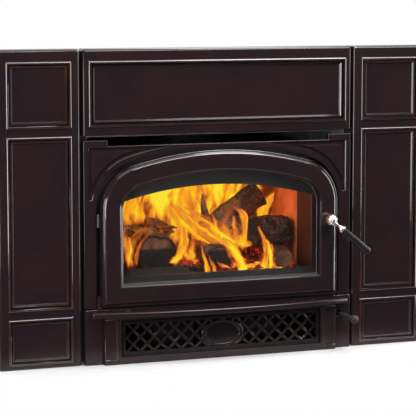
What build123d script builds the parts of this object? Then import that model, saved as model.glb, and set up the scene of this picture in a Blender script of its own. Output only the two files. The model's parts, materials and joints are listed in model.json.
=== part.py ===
"""Wood-burning fireplace insert with a panelled cast-iron surround, in millimetres.

+X is the viewer's right, the front faces -Y and +Z is up. Z = 0 is the hearth that
the insert stands on, Y = 0 is the masonry face that the surround closes against,
and X = 0 is the middle of the insert.
"""

from build123d import *
from math import cos, radians, sin, sqrt
import os

os.makedirs("parts", exist_ok=True)

# --- Clearances -------------------------------------------------------------
running_gap = 0.05  # radial, a shaft or pin in its hole
seat_gap = 0.3  # between pieces that pass or lie on each other
casting_wall = 6  # wall of every hollow casting

# --- Surround: two columns and a lintel --------------------------------------
surround_width = 1105
surround_height = 753
rail_depth = 45  # rail faces stand this far in front of the masonry
column_width = 201
surround_joint = 6.5  # gap between a column and the lintel
lintel_height = 207
edge_round = 8  # bullnose along the outer edges
lintel_edge_round = 5
column_side_rail = 21
lintel_side_rail = 13
top_rail = 28
middle_rail = 17
bottom_rail = 9
square_panel_height = 158
base_panel_height = 112
bead_height = 3.5  # moulding round each panel
bead_width = 7
bead_taper = 30
groove_width = 6
groove_drop = 1
field_depth = 6  # sunk field, behind the rail face
field_taper = 40

half_width = surround_width / 2
column_inner = half_width - column_width
lintel_half = column_inner - surround_joint
lintel_bottom = surround_height - lintel_height
rail_face = -rail_depth
cavity_front = rail_face + field_depth + casting_wall

# --- Front castings and ash lip ------------------------------------------------
lower_casting_height = 133
casting_joint = 2  # dark joint between the lower and the upper casting
warm_air_slot = 23  # height of the slot between the upper casting and the lintel
casting_thickness = 17
casting_stile = 31  # width of the upper casting beside the door's opening
casting_rail = 16  # from the door's peak to the casting's top
casting_edge_round = 2
ear_height = 14
ear_width = 60
spandrel_margin = 14  # from the casting's side to the spandrel's groove
spandrel_top_margin = 5
spandrel_height = 122
spandrel_groove_width = 9
spandrel_groove_depth = 4.5
spandrel_slope = 4  # run of the field's sloped edge
arch_band = 14  # flat band between the door opening and the spandrel
lower_casting_step = 14  # its middle stands this far in front of its ends
lower_casting_proud = 5  # and its ends this far in front of the rails
step_margin = 45  # from its ends to its step
lip_height = 116  # underside of the ash lip
lip_thickness = 12
lip_margin = 13
lip_end_reach = 18  # in front of the lower casting's ends
lip_middle_reach = 55
lip_corner_round = 7
lip_top_round = 4
grille_margin = 40  # from the step's ends to the grille's opening
grille_sill = 17.5
grille_opening_height = 90
pilaster_margin = 15
pilaster_width = 32
pilaster_sill = 12
pilaster_height = 98
pilaster_depth = 3
lip_bolt_radius = 3
lip_bolt_x = 240

# --- Lower grille ---------------------------------------------------------------
grille_thickness = 5
grille_flange = 8  # behind the casting, at each end of the opening
grille_lap = 2  # and along its top and bottom
border_margin = 4
border_height = 2.5
lattice_margin = 12
lattice_height = 66.5
lattice_pitch = 35
lattice_width = 5.5
lattice_bars = 9  # bars of each direction, on either side of the middle one
plaque_z = 60
boss_half_width = 54
boss_half_height = 32
plaque_half_width = 44
plaque_half_height = 26
plaque_thickness = 3

upper_casting_top = lintel_bottom - warm_air_slot
step_half_width = lintel_half - step_margin
lip_half_width = lintel_half - lip_margin
grille_half_width = step_half_width - grille_margin
pilaster_centre = step_half_width - pilaster_margin
lower_face = rail_face - lower_casting_proud
step_face = lower_face - lower_casting_step
lip_bolt_y = step_face + 6.5
grille_y = step_face + casting_wall
plate_front = rail_face + casting_thickness  # front of the steel face plate

lattice_half_width = grille_half_width - lattice_margin

# --- Door ------------------------------------------------------------------
door_sill_gap = 12  # between the ash lip and the door
crown_radius = 830
shoulder_radius = 110
door_gap = 9  # between the door and the upper casting
door_proud = 17  # door face, in front of the rails
door_step = 5  # its moulded edge lies this far behind its face
door_edge_width = 9
door_back_gap = 6  # between the door's rim and the face plate
window_inset = 45  # door edge to window edge, at the face
window_ledge = 8
window_slope = 2
window_drop = 2.2  # depth of that slope, and where the ledge begins to fall inwards
rim_width = 42  # thick rim round the glass
glass_land_depth = 17  # face to the land that the glass clips sit on
glass_thickness = 5
glass_tape = 2
glass_overlap = 5
door_rope_width = 7
door_rope_seat = 4  # depth of the rope's groove
door_rope_inset = 33
clip_inset = 46.75  # middle of each glass clip
clip_length = 30
clip_width = 8.5
clip_thickness = 2
clip_screw_radius = 1.5
clip_screw_length = 7
clip_screw_offset = 1.5  # from the middle of the clip, outwards
clip_rise = 100  # lowest clip at the sides, above the door's bottom
clip_drop = 20  # highest one, below the door's shoulders
clip_spread = 9  # degrees from the middle, along the top and bottom

door_half_width = lintel_half - casting_stile - door_gap
door_bottom = lip_height + lip_thickness + door_sill_gap
door_peak = upper_casting_top - casting_rail
crown_centre = door_peak - crown_radius
shoulder_x = door_half_width - shoulder_radius
shoulder_z = crown_centre + sqrt((crown_radius - shoulder_radius) ** 2 - shoulder_x**2)
door_face = rail_face - door_proud
door_ledge = door_face + door_step
door_back = plate_front - door_back_gap
land_y = door_face + glass_land_depth
window_opening_inset = window_inset + window_ledge
glass_inset = window_opening_inset - glass_overlap
tape_front = land_y - glass_thickness - glass_tape
rope_inner_inset = door_rope_inset + door_rope_width
clip_side = door_half_width - clip_inset
clip_crown = crown_radius - clip_inset
clip_places = []
for clip_z in (door_bottom + clip_rise, shoulder_z - clip_drop):
    clip_places.append(Location((-clip_side, clip_z), 90))
    clip_places.append(Location((clip_side, clip_z), -90))
for clip_angle in (-clip_spread, clip_spread):
    clip_x = clip_crown * sin(radians(clip_angle))
    clip_top = crown_centre + clip_crown * cos(radians(clip_angle))
    clip_places.append(Location((clip_x, clip_top), -clip_angle))
    clip_places.append(Location((clip_x, door_bottom + clip_inset), 180))

# --- Hinges ------------------------------------------------------------------
hinge_pin_radius = 3
knuckle_radius = 5.5
knuckle_clearance = 0.7
hinge_y = rail_face - 3
lug_drop = 5.5  # underside of the lower lug, below the door
upper_lug_drop = 39  # underside of the upper lug, below the door's shoulders
lug_thickness = 9
knuckle_length = 22
hinge_x = -(door_half_width + door_gap / 2)
lug_heights = (door_bottom - lug_drop, shoulder_z - upper_lug_drop)

# --- Handle ------------------------------------------------------------------
handle_inset = 26  # from the door's edge
handle_rise = 3.5  # above the door's middle
spindle_radius = 4
hub_radius = 15
hub_standoff = 5  # neck between the door face and the ball
hub_flutes = 10
flute_radius = 2.4
neck_radius = 6.5
cap_radius = 3.5
cap_proud = 0.5
handle_drop = 41.5  # degrees below the horizontal, at rest
handle_lean = 8  # degrees that the grip leans away from the door
stem_root = 7.5
stem_waist = 4.8
stem_length = 38
stem_flare = 10.5
stem_collar = 3
tang_radius = 4
grip_length = 86
grip_root_radius = 8.7
grip_tip_radius = 10
grip_tip_round = 3
cam_length = 29
cam_width = 12
cam_thickness = 3
cam_clearance = 0.4
nut_height = 2.2
keeper_width = 14
keeper_height = 26
keeper_depth = 6

handle_x = door_half_width - handle_inset
handle_z = (door_bottom + door_peak) / 2 + handle_rise

# --- Steel face plate and firebox --------------------------------------------
plate_thickness = 6
plate_margin = 13  # from the castings' ends to the plate's
plate_drop = 3  # plate's top, below the casting's
plate_lap = 9  # plate's bottom, below the lower casting's top
aperture_inset = 56.4  # from the door's side
aperture_rise = 65.5  # above the door's bottom
aperture_drop = 85.5  # below its peak
aperture_radius = 873
convection_gap = 47  # between the firebox and the casing, at each side
firebox_drop = 14  # its top, below the plate's top
firebox_depth = 392
steel = 5
brick_thickness = 30
brick_joint = 1
smoke_gap = 35  # above the baffle board
flue_y = 230
flue_radius = 76.2  # bore for a 150 mm (6 in) flue pipe
collar_wall = 6
collar_ledge = 6  # the firebox's own opening is smaller, so that the pipe rests on it
collar_proud = 54  # above the casing
collar_flange = 18
tube_radius = 12
tube_pitch = 100
tube_count = 3
first_tube_y = 90
baffle_thickness = 25
deflector_height = 40
deflector_reach = 28
retainer_height = 42
retainer_thickness = 8
airwash_slots = 8
airwash_pitch = 60
airwash_slot_length = 40
airwash_slot_width = 6
baffle_gap = 82  # between the face plate and the baffle board, for the smoke
support_inset = 85  # from the firebox's sides
support_setback = 30  # from its rear
support_width = 30

plate_half_width = lintel_half - plate_margin
plate_top = upper_casting_top - plate_drop
plate_bottom = lower_casting_height - plate_lap
aperture_half_width = door_half_width - aperture_inset
aperture_bottom = door_bottom + aperture_rise
aperture_peak = door_peak - aperture_drop
firebox_half_width = plate_half_width - convection_gap
plate_back = plate_front + plate_thickness
firebox_rear_y = plate_back + firebox_depth
floor_top = plate_bottom + steel
brick_floor_top = floor_top + brick_thickness
firebox_top_z = plate_top - firebox_drop
baffle_top = firebox_top_z - steel - smoke_gap
tube_z = baffle_top - baffle_thickness - tube_radius
side_brick_height = tube_z - tube_radius - brick_floor_top
lining_half_width = firebox_half_width - steel - brick_thickness
lining_rear_y = firebox_rear_y - steel - brick_thickness

# --- Convection casing --------------------------------------------------------
sheet = 2
casing_height = lintel_bottom
casing_depth = 455
casing_straight = 220  # the sides run straight back, then taper
casing_taper = 34  # narrower at the rear, at each side
collar_hole_gap = 1.5

casing_front_half = plate_half_width + sheet
casing_rear_y = plate_front + casing_depth
casing_rear_half_width = casing_front_half - casing_taper
collar_height = casing_height + collar_proud - firebox_top_z

# --- Air control --------------------------------------------------------------
rod_margin = 14  # from the casing's side to the rod's axis
rod_drop = 30  # axis below the ash lip
rod_radius = 5.5
knob_radius = 10.3
knob_reach = 84.7  # ball centre, in front of the lower casting's ends
rod_hole_radius = 10
rod_length = 251.7
knob_neck = 2
shutter_lap = 15  # of the air box that it leaves bare at the left
shutter_overhang = 7  # beyond the rod's axis
shutter_y = 40
shutter_thickness = 2
shutter_length = 85
shutter_gap = 0.3
air_box_inset = 85  # from the firebox's side to the box's far wall
air_box_width = 100
air_box_length = 150
air_inlet = 56
air_port_width = 20
guide_thickness = 6
guide_width = 28
guide_height = 24
guide_y = 0

rod_x = plate_half_width - rod_margin
rod_z = lip_height - rod_drop
air_box_left = firebox_half_width - air_box_inset
shutter_left = air_box_left + shutter_lap
shutter_right = rod_x + shutter_overhang

# --- Blower --------------------------------------------------------------------
blower_y = 45
blower_z = 56
wheel_radius = 34
wheel_length = 96
wheel_blades = 24
wheel_start = 56  # inner end of each wheel, from the middle
blower_shaft_radius = 4
motor_radius = 30
motor_length = 80
scroll_gap = 8
scroll_sheet = 1.5
scroll_end_gap = 3
outlet_reach = 65
outlet_height = 40
blade_depth = 6
blade_thickness = 1.2
blade_angle = 25
hub_length = 20
motor_edge_round = 4
bracket_foot = 3
bracket_steel = 3
saddle_x = 25
saddle_half_width = 25

# --- Fire ------------------------------------------------------------------------
ember_top = 205
ember_slope = 6
ember_mound = 22
mound_inset = 10  # from the bed's left side
mound_length = 170
mound_depth = 32
bed_margin = 10  # between the bed and the bricks
left_log_x = -140  # each log: its place, then its section and length
left_log_setback = 34
left_log_width = 106
left_log_height = 90
left_log_length = 205
middle_log_x = 16
middle_log_setback = 22
middle_log_width = 80
middle_log_height = 54
middle_log_length = 56
right_log_x = 184
right_log_setback = 9
right_log_width = 46
right_log_height = 46
rear_log_y = 280
rear_log_end = -40
rear_log_size = 84
rear_log_length = 195
base_log_places = (40, 200)
base_log_y = 75
base_log_width = 46
base_log_height = 40
base_log_length = 185
top_log_end = 236
top_log_y = 110
top_log_width = 80
top_log_height = 76
top_log_length = 222
leaning_log_x = 183  # upper end of the leaning log's axis
leaning_log_rise = 121  # and its height above the log that it stands on
leaning_log_size = 56
leaning_log_slope = 32


def front_plane(y):
    """Plane at depth y that faces the viewer, with its own y axis along +Z."""
    return Plane(origin=(0, y, 0), x_dir=(1, 0, 0), z_dir=(0, -1, 0))


def arch_face(inset, bottom):
    """Door-shaped face: the door's outline moved inwards by inset, down to bottom."""
    side = door_half_width - inset
    reach = crown_radius - shoulder_radius
    crown = crown_radius - inset
    shoulder = shoulder_radius - inset
    tangent_x = shoulder_x * crown / reach
    tangent_z = crown_centre + (shoulder_z - crown_centre) * crown / reach
    middle_x = shoulder_x + shoulder * cos(radians(40))
    middle_z = shoulder_z + shoulder * sin(radians(40))
    with BuildSketch() as outline:
        with BuildLine():
            Polyline((-side, shoulder_z), (-side, bottom), (side, bottom), (side, shoulder_z))
            ThreePointArc((side, shoulder_z), (middle_x, middle_z), (tangent_x, tangent_z))
            ThreePointArc(
                (tangent_x, tangent_z),
                (0, crown_centre + crown),
                (-tangent_x, tangent_z),
            )
            ThreePointArc((-tangent_x, tangent_z), (-middle_x, middle_z), (-side, shoulder_z))
        make_face()
    return outline.sketch_local


def sink_panel(left, right, bottom, top):
    """Raise a bead round a panel on the rail face and sink the field inside it."""
    centre = ((left + right) / 2, (bottom + top) / 2)
    width = right - left
    height = top - bottom
    field_margin = 2 * (bead_width + groove_width)
    with BuildSketch(front_plane(rail_face)) as outer:
        with Locations(centre):
            Rectangle(width, height)
    extrude(outer.sketch, amount=bead_height, taper=bead_taper)
    with BuildSketch(front_plane(rail_face - bead_height)) as inner:
        with Locations(centre):
            Rectangle(width - 2 * bead_width, height - 2 * bead_width)
    extrude(inner.sketch, amount=-(bead_height + groove_drop), mode=Mode.SUBTRACT)
    with BuildSketch(front_plane(rail_face + groove_drop)) as field:
        with Locations(centre):
            Rectangle(width - field_margin, height - field_margin)
    extrude(
        field.sketch,
        amount=-(field_depth - groove_drop),
        taper=field_taper,
        mode=Mode.SUBTRACT,
    )


def spandrel_face(side, inset):
    """Three-cornered face between the casting's corner and the door opening."""
    outer = lintel_half - spandrel_margin
    top = upper_casting_top - spandrel_top_margin
    with BuildSketch() as outline:
        with Locations((side * outer / 2, top - spandrel_height / 2)):
            Rectangle(outer - 2 * inset, spandrel_height - 2 * inset)
        add(arch_face(-door_gap - arch_band - inset, 0), mode=Mode.SUBTRACT)
    return outline.sketch_local


def export(piece, name):
    """Label a finished piece with its name and write it."""
    piece.part.label = name
    export_step(piece.part, f"parts/{name}.step")


# --- Surround -------------------------------------------------------------------
square_panel_bottom = surround_height - top_rail - square_panel_height
base_panel_top = bottom_rail + base_panel_height
panel_spans = [
    (bottom_rail, base_panel_top),
    (base_panel_top + middle_rail, square_panel_bottom - middle_rail),
    (square_panel_bottom, surround_height - top_rail),
]
bolt_heights = (lintel_bottom + 60, lintel_bottom + 150)
bolt_radius = 4
bolt_y = -16
bracket_heights = (180, 400)
bracket_width = 40
bracket_depth = 26

with BuildPart() as left_column:
    with BuildSketch(Plane.XY):
        with Locations((-half_width + column_width / 2, rail_face / 2)):
            Rectangle(column_width, rail_depth)
    extrude(amount=surround_height)
    front_edges = left_column.edges().group_by(Axis.Y)[0]
    uprights = front_edges.filter_by(Axis.Z)
    top_edge = front_edges.filter_by(Axis.X).sort_by(Axis.Z)[-1]
    fillet([*uprights, top_edge], radius=edge_round)
    with BuildSketch(Plane.XY.offset(casting_wall)):
        with Locations((-half_width + column_width / 2, cavity_front / 2)):
            Rectangle(column_width - 2 * casting_wall, -cavity_front)
    extrude(amount=surround_height - 2 * casting_wall, mode=Mode.SUBTRACT)
    for low, high in panel_spans:
        sink_panel(
            -half_width + column_side_rail,
            -column_inner - column_side_rail,
            low,
            high,
        )
    with BuildSketch(Plane.YZ.offset(-column_inner - casting_wall)):
        for height in bolt_heights:
            with Locations((bolt_y, height)):
                Circle(bolt_radius + running_gap)
    extrude(amount=casting_wall, mode=Mode.SUBTRACT)
export(left_column, "left_column")

with BuildPart() as right_column:
    mirror(left_column.part, about=Plane.YZ)
export(right_column, "right_column")

with BuildPart() as lintel:
    with BuildSketch(Plane.XY.offset(lintel_bottom)):
        with Locations((0, rail_face / 2)):
            Rectangle(2 * lintel_half, rail_depth)
    extrude(amount=lintel_height)
    front_edges = lintel.edges().group_by(Axis.Y)[0]
    uprights = front_edges.filter_by(Axis.Z)
    level_edges = front_edges.filter_by(Axis.X).sort_by(Axis.Z)
    fillet([*uprights, level_edges[0]], radius=lintel_edge_round)
    level_edges = lintel.edges().group_by(Axis.Y)[0].filter_by(Axis.X).sort_by(Axis.Z)
    fillet(level_edges[-1], radius=edge_round)
    with BuildSketch(Plane.XY.offset(lintel_bottom + casting_wall)):
        with Locations((0, cavity_front / 2)):
            Rectangle(2 * (lintel_half - casting_wall), -cavity_front)
    extrude(amount=lintel_height - 2 * casting_wall, mode=Mode.SUBTRACT)
    sink_panel(
        -lintel_half + lintel_side_rail,
        lintel_half - lintel_side_rail,
        square_panel_bottom,
        surround_height - top_rail,
    )
    with BuildSketch(Plane.YZ.offset(-lintel_half)):
        for height in bolt_heights:
            with Locations((bolt_y, height)):
                Circle(bolt_radius + running_gap)
    extrude(amount=2 * lintel_half, mode=Mode.SUBTRACT)
export(lintel, "lintel")

# Strips that close the joints between the columns and the middle castings. Each has
# a flange behind the castings, up to the casing's side.
flange_width = column_inner - casing_front_half
flange_thickness = -plate_front - bracket_depth
flange_height = lintel_bottom - casting_wall - seat_gap
with BuildPart() as surround_spacers:
    for side in (-1, 1):
        with BuildSketch(Plane.YZ.offset(side * column_inner)):
            with Locations((-bracket_depth / 2, surround_height / 2)):
                Rectangle(bracket_depth, surround_height - 2 * casting_wall)
            for height in bolt_heights:
                with Locations((bolt_y, height)):
                    Circle(bolt_radius + running_gap, mode=Mode.SUBTRACT)
        extrude(amount=-side * surround_joint)
        with BuildSketch(Plane.XY.offset(casting_wall)):
            with Locations(
                (
                    side * (casing_front_half + flange_width / 2),
                    plate_front + flange_thickness / 2,
                )
            ):
                Rectangle(flange_width, flange_thickness)
        extrude(amount=flange_height)
export(surround_spacers, "surround_spacers")

bolt_span = surround_joint + 2 * casting_wall
bolt_head = 5
with BuildPart() as surround_bolts:
    for side in (-1, 1):
        head_x = side * (lintel_half - casting_wall)
        nut_x = head_x + side * bolt_span
        for height in bolt_heights:
            with BuildSketch(Plane.YZ.offset(head_x - side * bolt_head)):
                with Locations((bolt_y, height)):
                    RegularPolygon(1.7 * bolt_radius, 6)
            extrude(amount=side * bolt_head)
            with BuildSketch(Plane.YZ.offset(head_x)):
                with Locations((bolt_y, height)):
                    Circle(bolt_radius)
            extrude(amount=side * bolt_span)
            with BuildSketch(Plane.YZ.offset(nut_x)):
                with Locations((bolt_y, height)):
                    RegularPolygon(1.7 * bolt_radius, 6)
            extrude(amount=side * bolt_head)
export(surround_bolts, "surround_bolts")

# Channels between the casing's sides and the joint strips.
with BuildPart() as surround_brackets:
    for side in (-1, 1):
        reach = lintel_half - casing_front_half
        for height in bracket_heights:
            with BuildSketch(Plane.XY.offset(height)):
                with Locations((side * (casing_front_half + reach / 2), -bracket_depth / 2)):
                    Rectangle(reach, bracket_depth)
                with Locations((side * (casing_front_half + reach / 2), -(bracket_depth + sheet) / 2)):
                    Rectangle(reach - 2 * sheet, bracket_depth - sheet, mode=Mode.SUBTRACT)
            extrude(amount=bracket_width)
export(surround_brackets, "surround_brackets")

# --- Upper front casting -----------------------------------------------------------
casting_bottom = lower_casting_height + casting_joint
ear_top = upper_casting_top + ear_height
keeper_x = handle_x + cam_length + 1.5
keeper_z = handle_z - keeper_height / 2

with BuildPart() as front_casting:
    with BuildSketch(front_plane(plate_front)):
        with Locations((0, (casting_bottom + upper_casting_top) / 2)):
            Rectangle(2 * lintel_half, upper_casting_top - casting_bottom)
        for side in (-1, 1):
            with Locations((side * (lintel_half - ear_width / 2), upper_casting_top + ear_height / 2)):
                Rectangle(ear_width, ear_height)
        add(arch_face(-door_gap, 0), mode=Mode.SUBTRACT)
    extrude(amount=casting_thickness)
    casting_front = front_casting.faces().sort_by(Axis.Y)[0]
    fillet(casting_front.edges(), radius=casting_edge_round)
    # Spandrels: a sloped groove round a flat three-cornered field in each upper corner.
    for side in (-1, 1):
        with BuildSketch(front_plane(rail_face)):
            add(spandrel_face(side, 0))
        extrude(amount=-spandrel_groove_depth, mode=Mode.SUBTRACT)
        with BuildSketch(front_plane(rail_face + spandrel_groove_depth)):
            add(spandrel_face(side, spandrel_groove_width - spandrel_slope))
        with BuildSketch(front_plane(rail_face)):
            add(spandrel_face(side, spandrel_groove_width))
        loft()
    groove_rims = [
        wire.edges()
        for face in front_casting.faces().sort_by(Axis.Y)[:3]
        for wire in face.inner_wires()
    ]
    chamfer([edge for rim in groove_rims for edge in rim], length=spandrel_slope / 2)
    # Hinge lugs on the left edge of the opening, with room for the door's knuckles.
    for low in lug_heights:
        with BuildSketch(Plane.XY.offset(low)):
            with Locations((hinge_x, hinge_y)):
                Circle(knuckle_radius)
            with Locations((hinge_x - knuckle_radius, hinge_y + knuckle_radius)):
                Rectangle(2 * knuckle_radius, knuckle_radius)
        extrude(amount=lug_thickness)
        with BuildSketch(Plane.XY.offset(low + lug_thickness)):
            with Locations((hinge_x, hinge_y)):
                Circle(knuckle_radius + knuckle_clearance)
        extrude(amount=knuckle_length + 2 * seat_gap, mode=Mode.SUBTRACT)
        with BuildSketch(Plane.XY.offset(low)):
            with Locations((hinge_x, hinge_y)):
                Circle(hinge_pin_radius + running_gap)
        extrude(amount=lug_thickness, mode=Mode.SUBTRACT)
    # Pocket for the latch keeper.
    with BuildSketch(front_plane(plate_front)):
        with Locations((keeper_x + keeper_width / 2, handle_z)):
            Rectangle(keeper_width + 2 * seat_gap, keeper_height + 2 * seat_gap)
    extrude(amount=keeper_depth + seat_gap, mode=Mode.SUBTRACT)
export(front_casting, "front_casting")

# --- Lower front casting ------------------------------------------------------------
with BuildPart() as lower_casting:
    with BuildSketch(front_plane(plate_front)):
        with Locations((0, lower_casting_height / 2)):
            Rectangle(2 * lintel_half, lower_casting_height)
    extrude(amount=plate_front - lower_face)
    with BuildSketch(front_plane(lower_face)):
        with Locations((0, lip_height / 2)):
            Rectangle(2 * step_half_width, lip_height)
    extrude(amount=lower_casting_step)
    front_edges = lower_casting.edges().group_by(Axis.Y)[0].filter_by(Axis.Z)
    end_edges = lower_casting.faces().sort_by(Axis.X)[0].edges().filter_by(Axis.Z)
    far_edges = lower_casting.faces().sort_by(Axis.X)[-1].edges().filter_by(Axis.Z)
    fillet(
        [*front_edges, end_edges.sort_by(Axis.Y)[0], far_edges.sort_by(Axis.Y)[0]],
        radius=casting_edge_round,
    )
    # Hollow behind, with the same wall at the ends and in the middle.
    with BuildSketch(front_plane(plate_front)):
        with Locations((0, lower_casting_height / 2)):
            Rectangle(
                2 * (lintel_half - casting_wall),
                lower_casting_height - 2 * casting_wall,
            )
    extrude(amount=plate_front - lower_face - casting_wall, mode=Mode.SUBTRACT)
    with BuildSketch(front_plane(lower_face + casting_wall)):
        with Locations((0, lip_height / 2)):
            Rectangle(2 * (step_half_width - casting_wall), lip_height - 2 * casting_wall)
    extrude(amount=lower_casting_step, mode=Mode.SUBTRACT)
    with BuildSketch(front_plane(step_face)):
        with Locations((0, grille_sill + grille_opening_height / 2)):
            Rectangle(2 * grille_half_width, grille_opening_height)
    extrude(amount=-casting_wall, mode=Mode.SUBTRACT)
    with BuildSketch(front_plane(step_face)):
        with Locations(
            (-pilaster_centre, pilaster_sill + pilaster_height / 2),
            (pilaster_centre, pilaster_sill + pilaster_height / 2),
        ):
            Rectangle(pilaster_width, pilaster_height)
    extrude(amount=-pilaster_depth, taper=field_taper, mode=Mode.SUBTRACT)
    with BuildSketch(front_plane(lower_face)):
        with Locations((rod_x, rod_z)):
            Circle(rod_hole_radius)
    extrude(amount=-casting_wall, mode=Mode.SUBTRACT)
    with BuildSketch(Plane.XY.offset(lip_height - casting_wall)):
        with Locations((-lip_bolt_x, lip_bolt_y), (lip_bolt_x, lip_bolt_y)):
            Circle(lip_bolt_radius + running_gap)
    extrude(amount=casting_wall, mode=Mode.SUBTRACT)
export(lower_casting, "lower_casting")

# --- Ash lip ---------------------------------------------------------------------------
with BuildPart() as ash_lip:
    with BuildSketch(Plane.XY.offset(lip_height)) as lip_plan:
        with BuildLine():
            Polyline(
                (-lip_half_width, lower_face - lip_end_reach),
                (-lip_half_width, lower_face),
                (lip_half_width, lower_face),
                (lip_half_width, lower_face - lip_end_reach),
            )
            ThreePointArc(
                (lip_half_width, lower_face - lip_end_reach),
                (0, lower_face - lip_middle_reach),
                (-lip_half_width, lower_face - lip_end_reach),
            )
        make_face()
        fillet(lip_plan.vertices().group_by(Axis.Y)[0], radius=lip_corner_round)
    extrude(amount=lip_thickness)
    nose = ash_lip.faces().sort_by(Axis.Z)[-1].edges().sort_by(Axis.Y)[:-1]
    fillet(nose, radius=lip_top_round)
    under = ash_lip.faces().sort_by(Axis.Z)[0].edges().sort_by(Axis.Y)[:-1]
    fillet(under, radius=lip_top_round / 2)
    with Locations(
        (-lip_bolt_x, lip_bolt_y, lip_height + lip_thickness),
        (lip_bolt_x, lip_bolt_y, lip_height + lip_thickness),
    ):
        CounterBoreHole(
            radius=lip_bolt_radius + running_gap,
            counter_bore_radius=2 * lip_bolt_radius,
            counter_bore_depth=lip_bolt_radius,
        )
export(ash_lip, "ash_lip")

with BuildPart() as ash_lip_bolts:
    for side in (-1, 1):
        with BuildSketch(Plane.XY.offset(lip_height - casting_wall)):
            with Locations((side * lip_bolt_x, lip_bolt_y)):
                Circle(lip_bolt_radius)
        extrude(amount=casting_wall + lip_thickness - lip_bolt_radius)
        with BuildSketch(Plane.XY.offset(lip_height + lip_thickness - lip_bolt_radius)):
            with Locations((side * lip_bolt_x, lip_bolt_y)):
                Circle(1.8 * lip_bolt_radius)
        extrude(amount=lip_bolt_radius)
export(ash_lip_bolts, "ash_lip_bolts")

# --- Lower grille ------------------------------------------------------------------------
grille_back = grille_y + grille_thickness
grille_middle = grille_sill + grille_opening_height / 2
with BuildPart() as lower_grille:
    with BuildSketch(front_plane(grille_back)):
        with Locations((0, grille_middle)):
            Rectangle(
                2 * (grille_half_width + grille_flange),
                grille_opening_height + 2 * grille_lap,
            )
    extrude(amount=grille_thickness)
    with BuildSketch(front_plane(grille_y)):
        with Locations((0, grille_middle)):
            Rectangle(
                2 * (grille_half_width - border_margin),
                grille_opening_height - 2 * border_margin,
            )
    extrude(amount=border_height)
    border_face = lower_grille.faces().sort_by(Axis.Y)[0]
    chamfer(border_face.edges(), length=border_height / 2)
    with BuildSketch(front_plane(grille_y - border_height)):
        with Locations((0, grille_middle)):
            Rectangle(2 * lattice_half_width, lattice_height)
    extrude(amount=-(border_height + grille_thickness), mode=Mode.SUBTRACT)
    # Bars at 45 degrees, both ways.
    with BuildSketch(front_plane(grille_back)):
        for index in range(-lattice_bars, lattice_bars + 1):
            with Locations((index * lattice_pitch, grille_middle)):
                Rectangle(2 * lattice_height, lattice_width, rotation=45)
                Rectangle(2 * lattice_height, lattice_width, rotation=-45)
        with Locations((0, grille_middle)):
            Rectangle(
                2 * lattice_half_width + 2,
                lattice_height + 2,
                mode=Mode.INTERSECT,
            )
    extrude(amount=grille_thickness)
    with BuildSketch(front_plane(grille_back)):
        with Locations((0, plaque_z)):
            Ellipse(boss_half_width, boss_half_height)
    extrude(amount=grille_thickness + border_height)
    with BuildSketch(front_plane(grille_y - border_height)):
        with Locations((0, plaque_z)):
            Ellipse(plaque_half_width + seat_gap, plaque_half_height + seat_gap)
    extrude(amount=-border_height, mode=Mode.SUBTRACT)
export(lower_grille, "lower_grille")

with BuildPart() as grille_plaque:
    with BuildSketch(front_plane(grille_y)):
        with Locations((0, plaque_z)):
            Ellipse(plaque_half_width, plaque_half_height)
    extrude(amount=plaque_thickness)
    fillet(grille_plaque.faces().sort_by(Axis.Y)[0].edges(), radius=plaque_thickness / 2)
export(grille_plaque, "grille_plaque")

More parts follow.
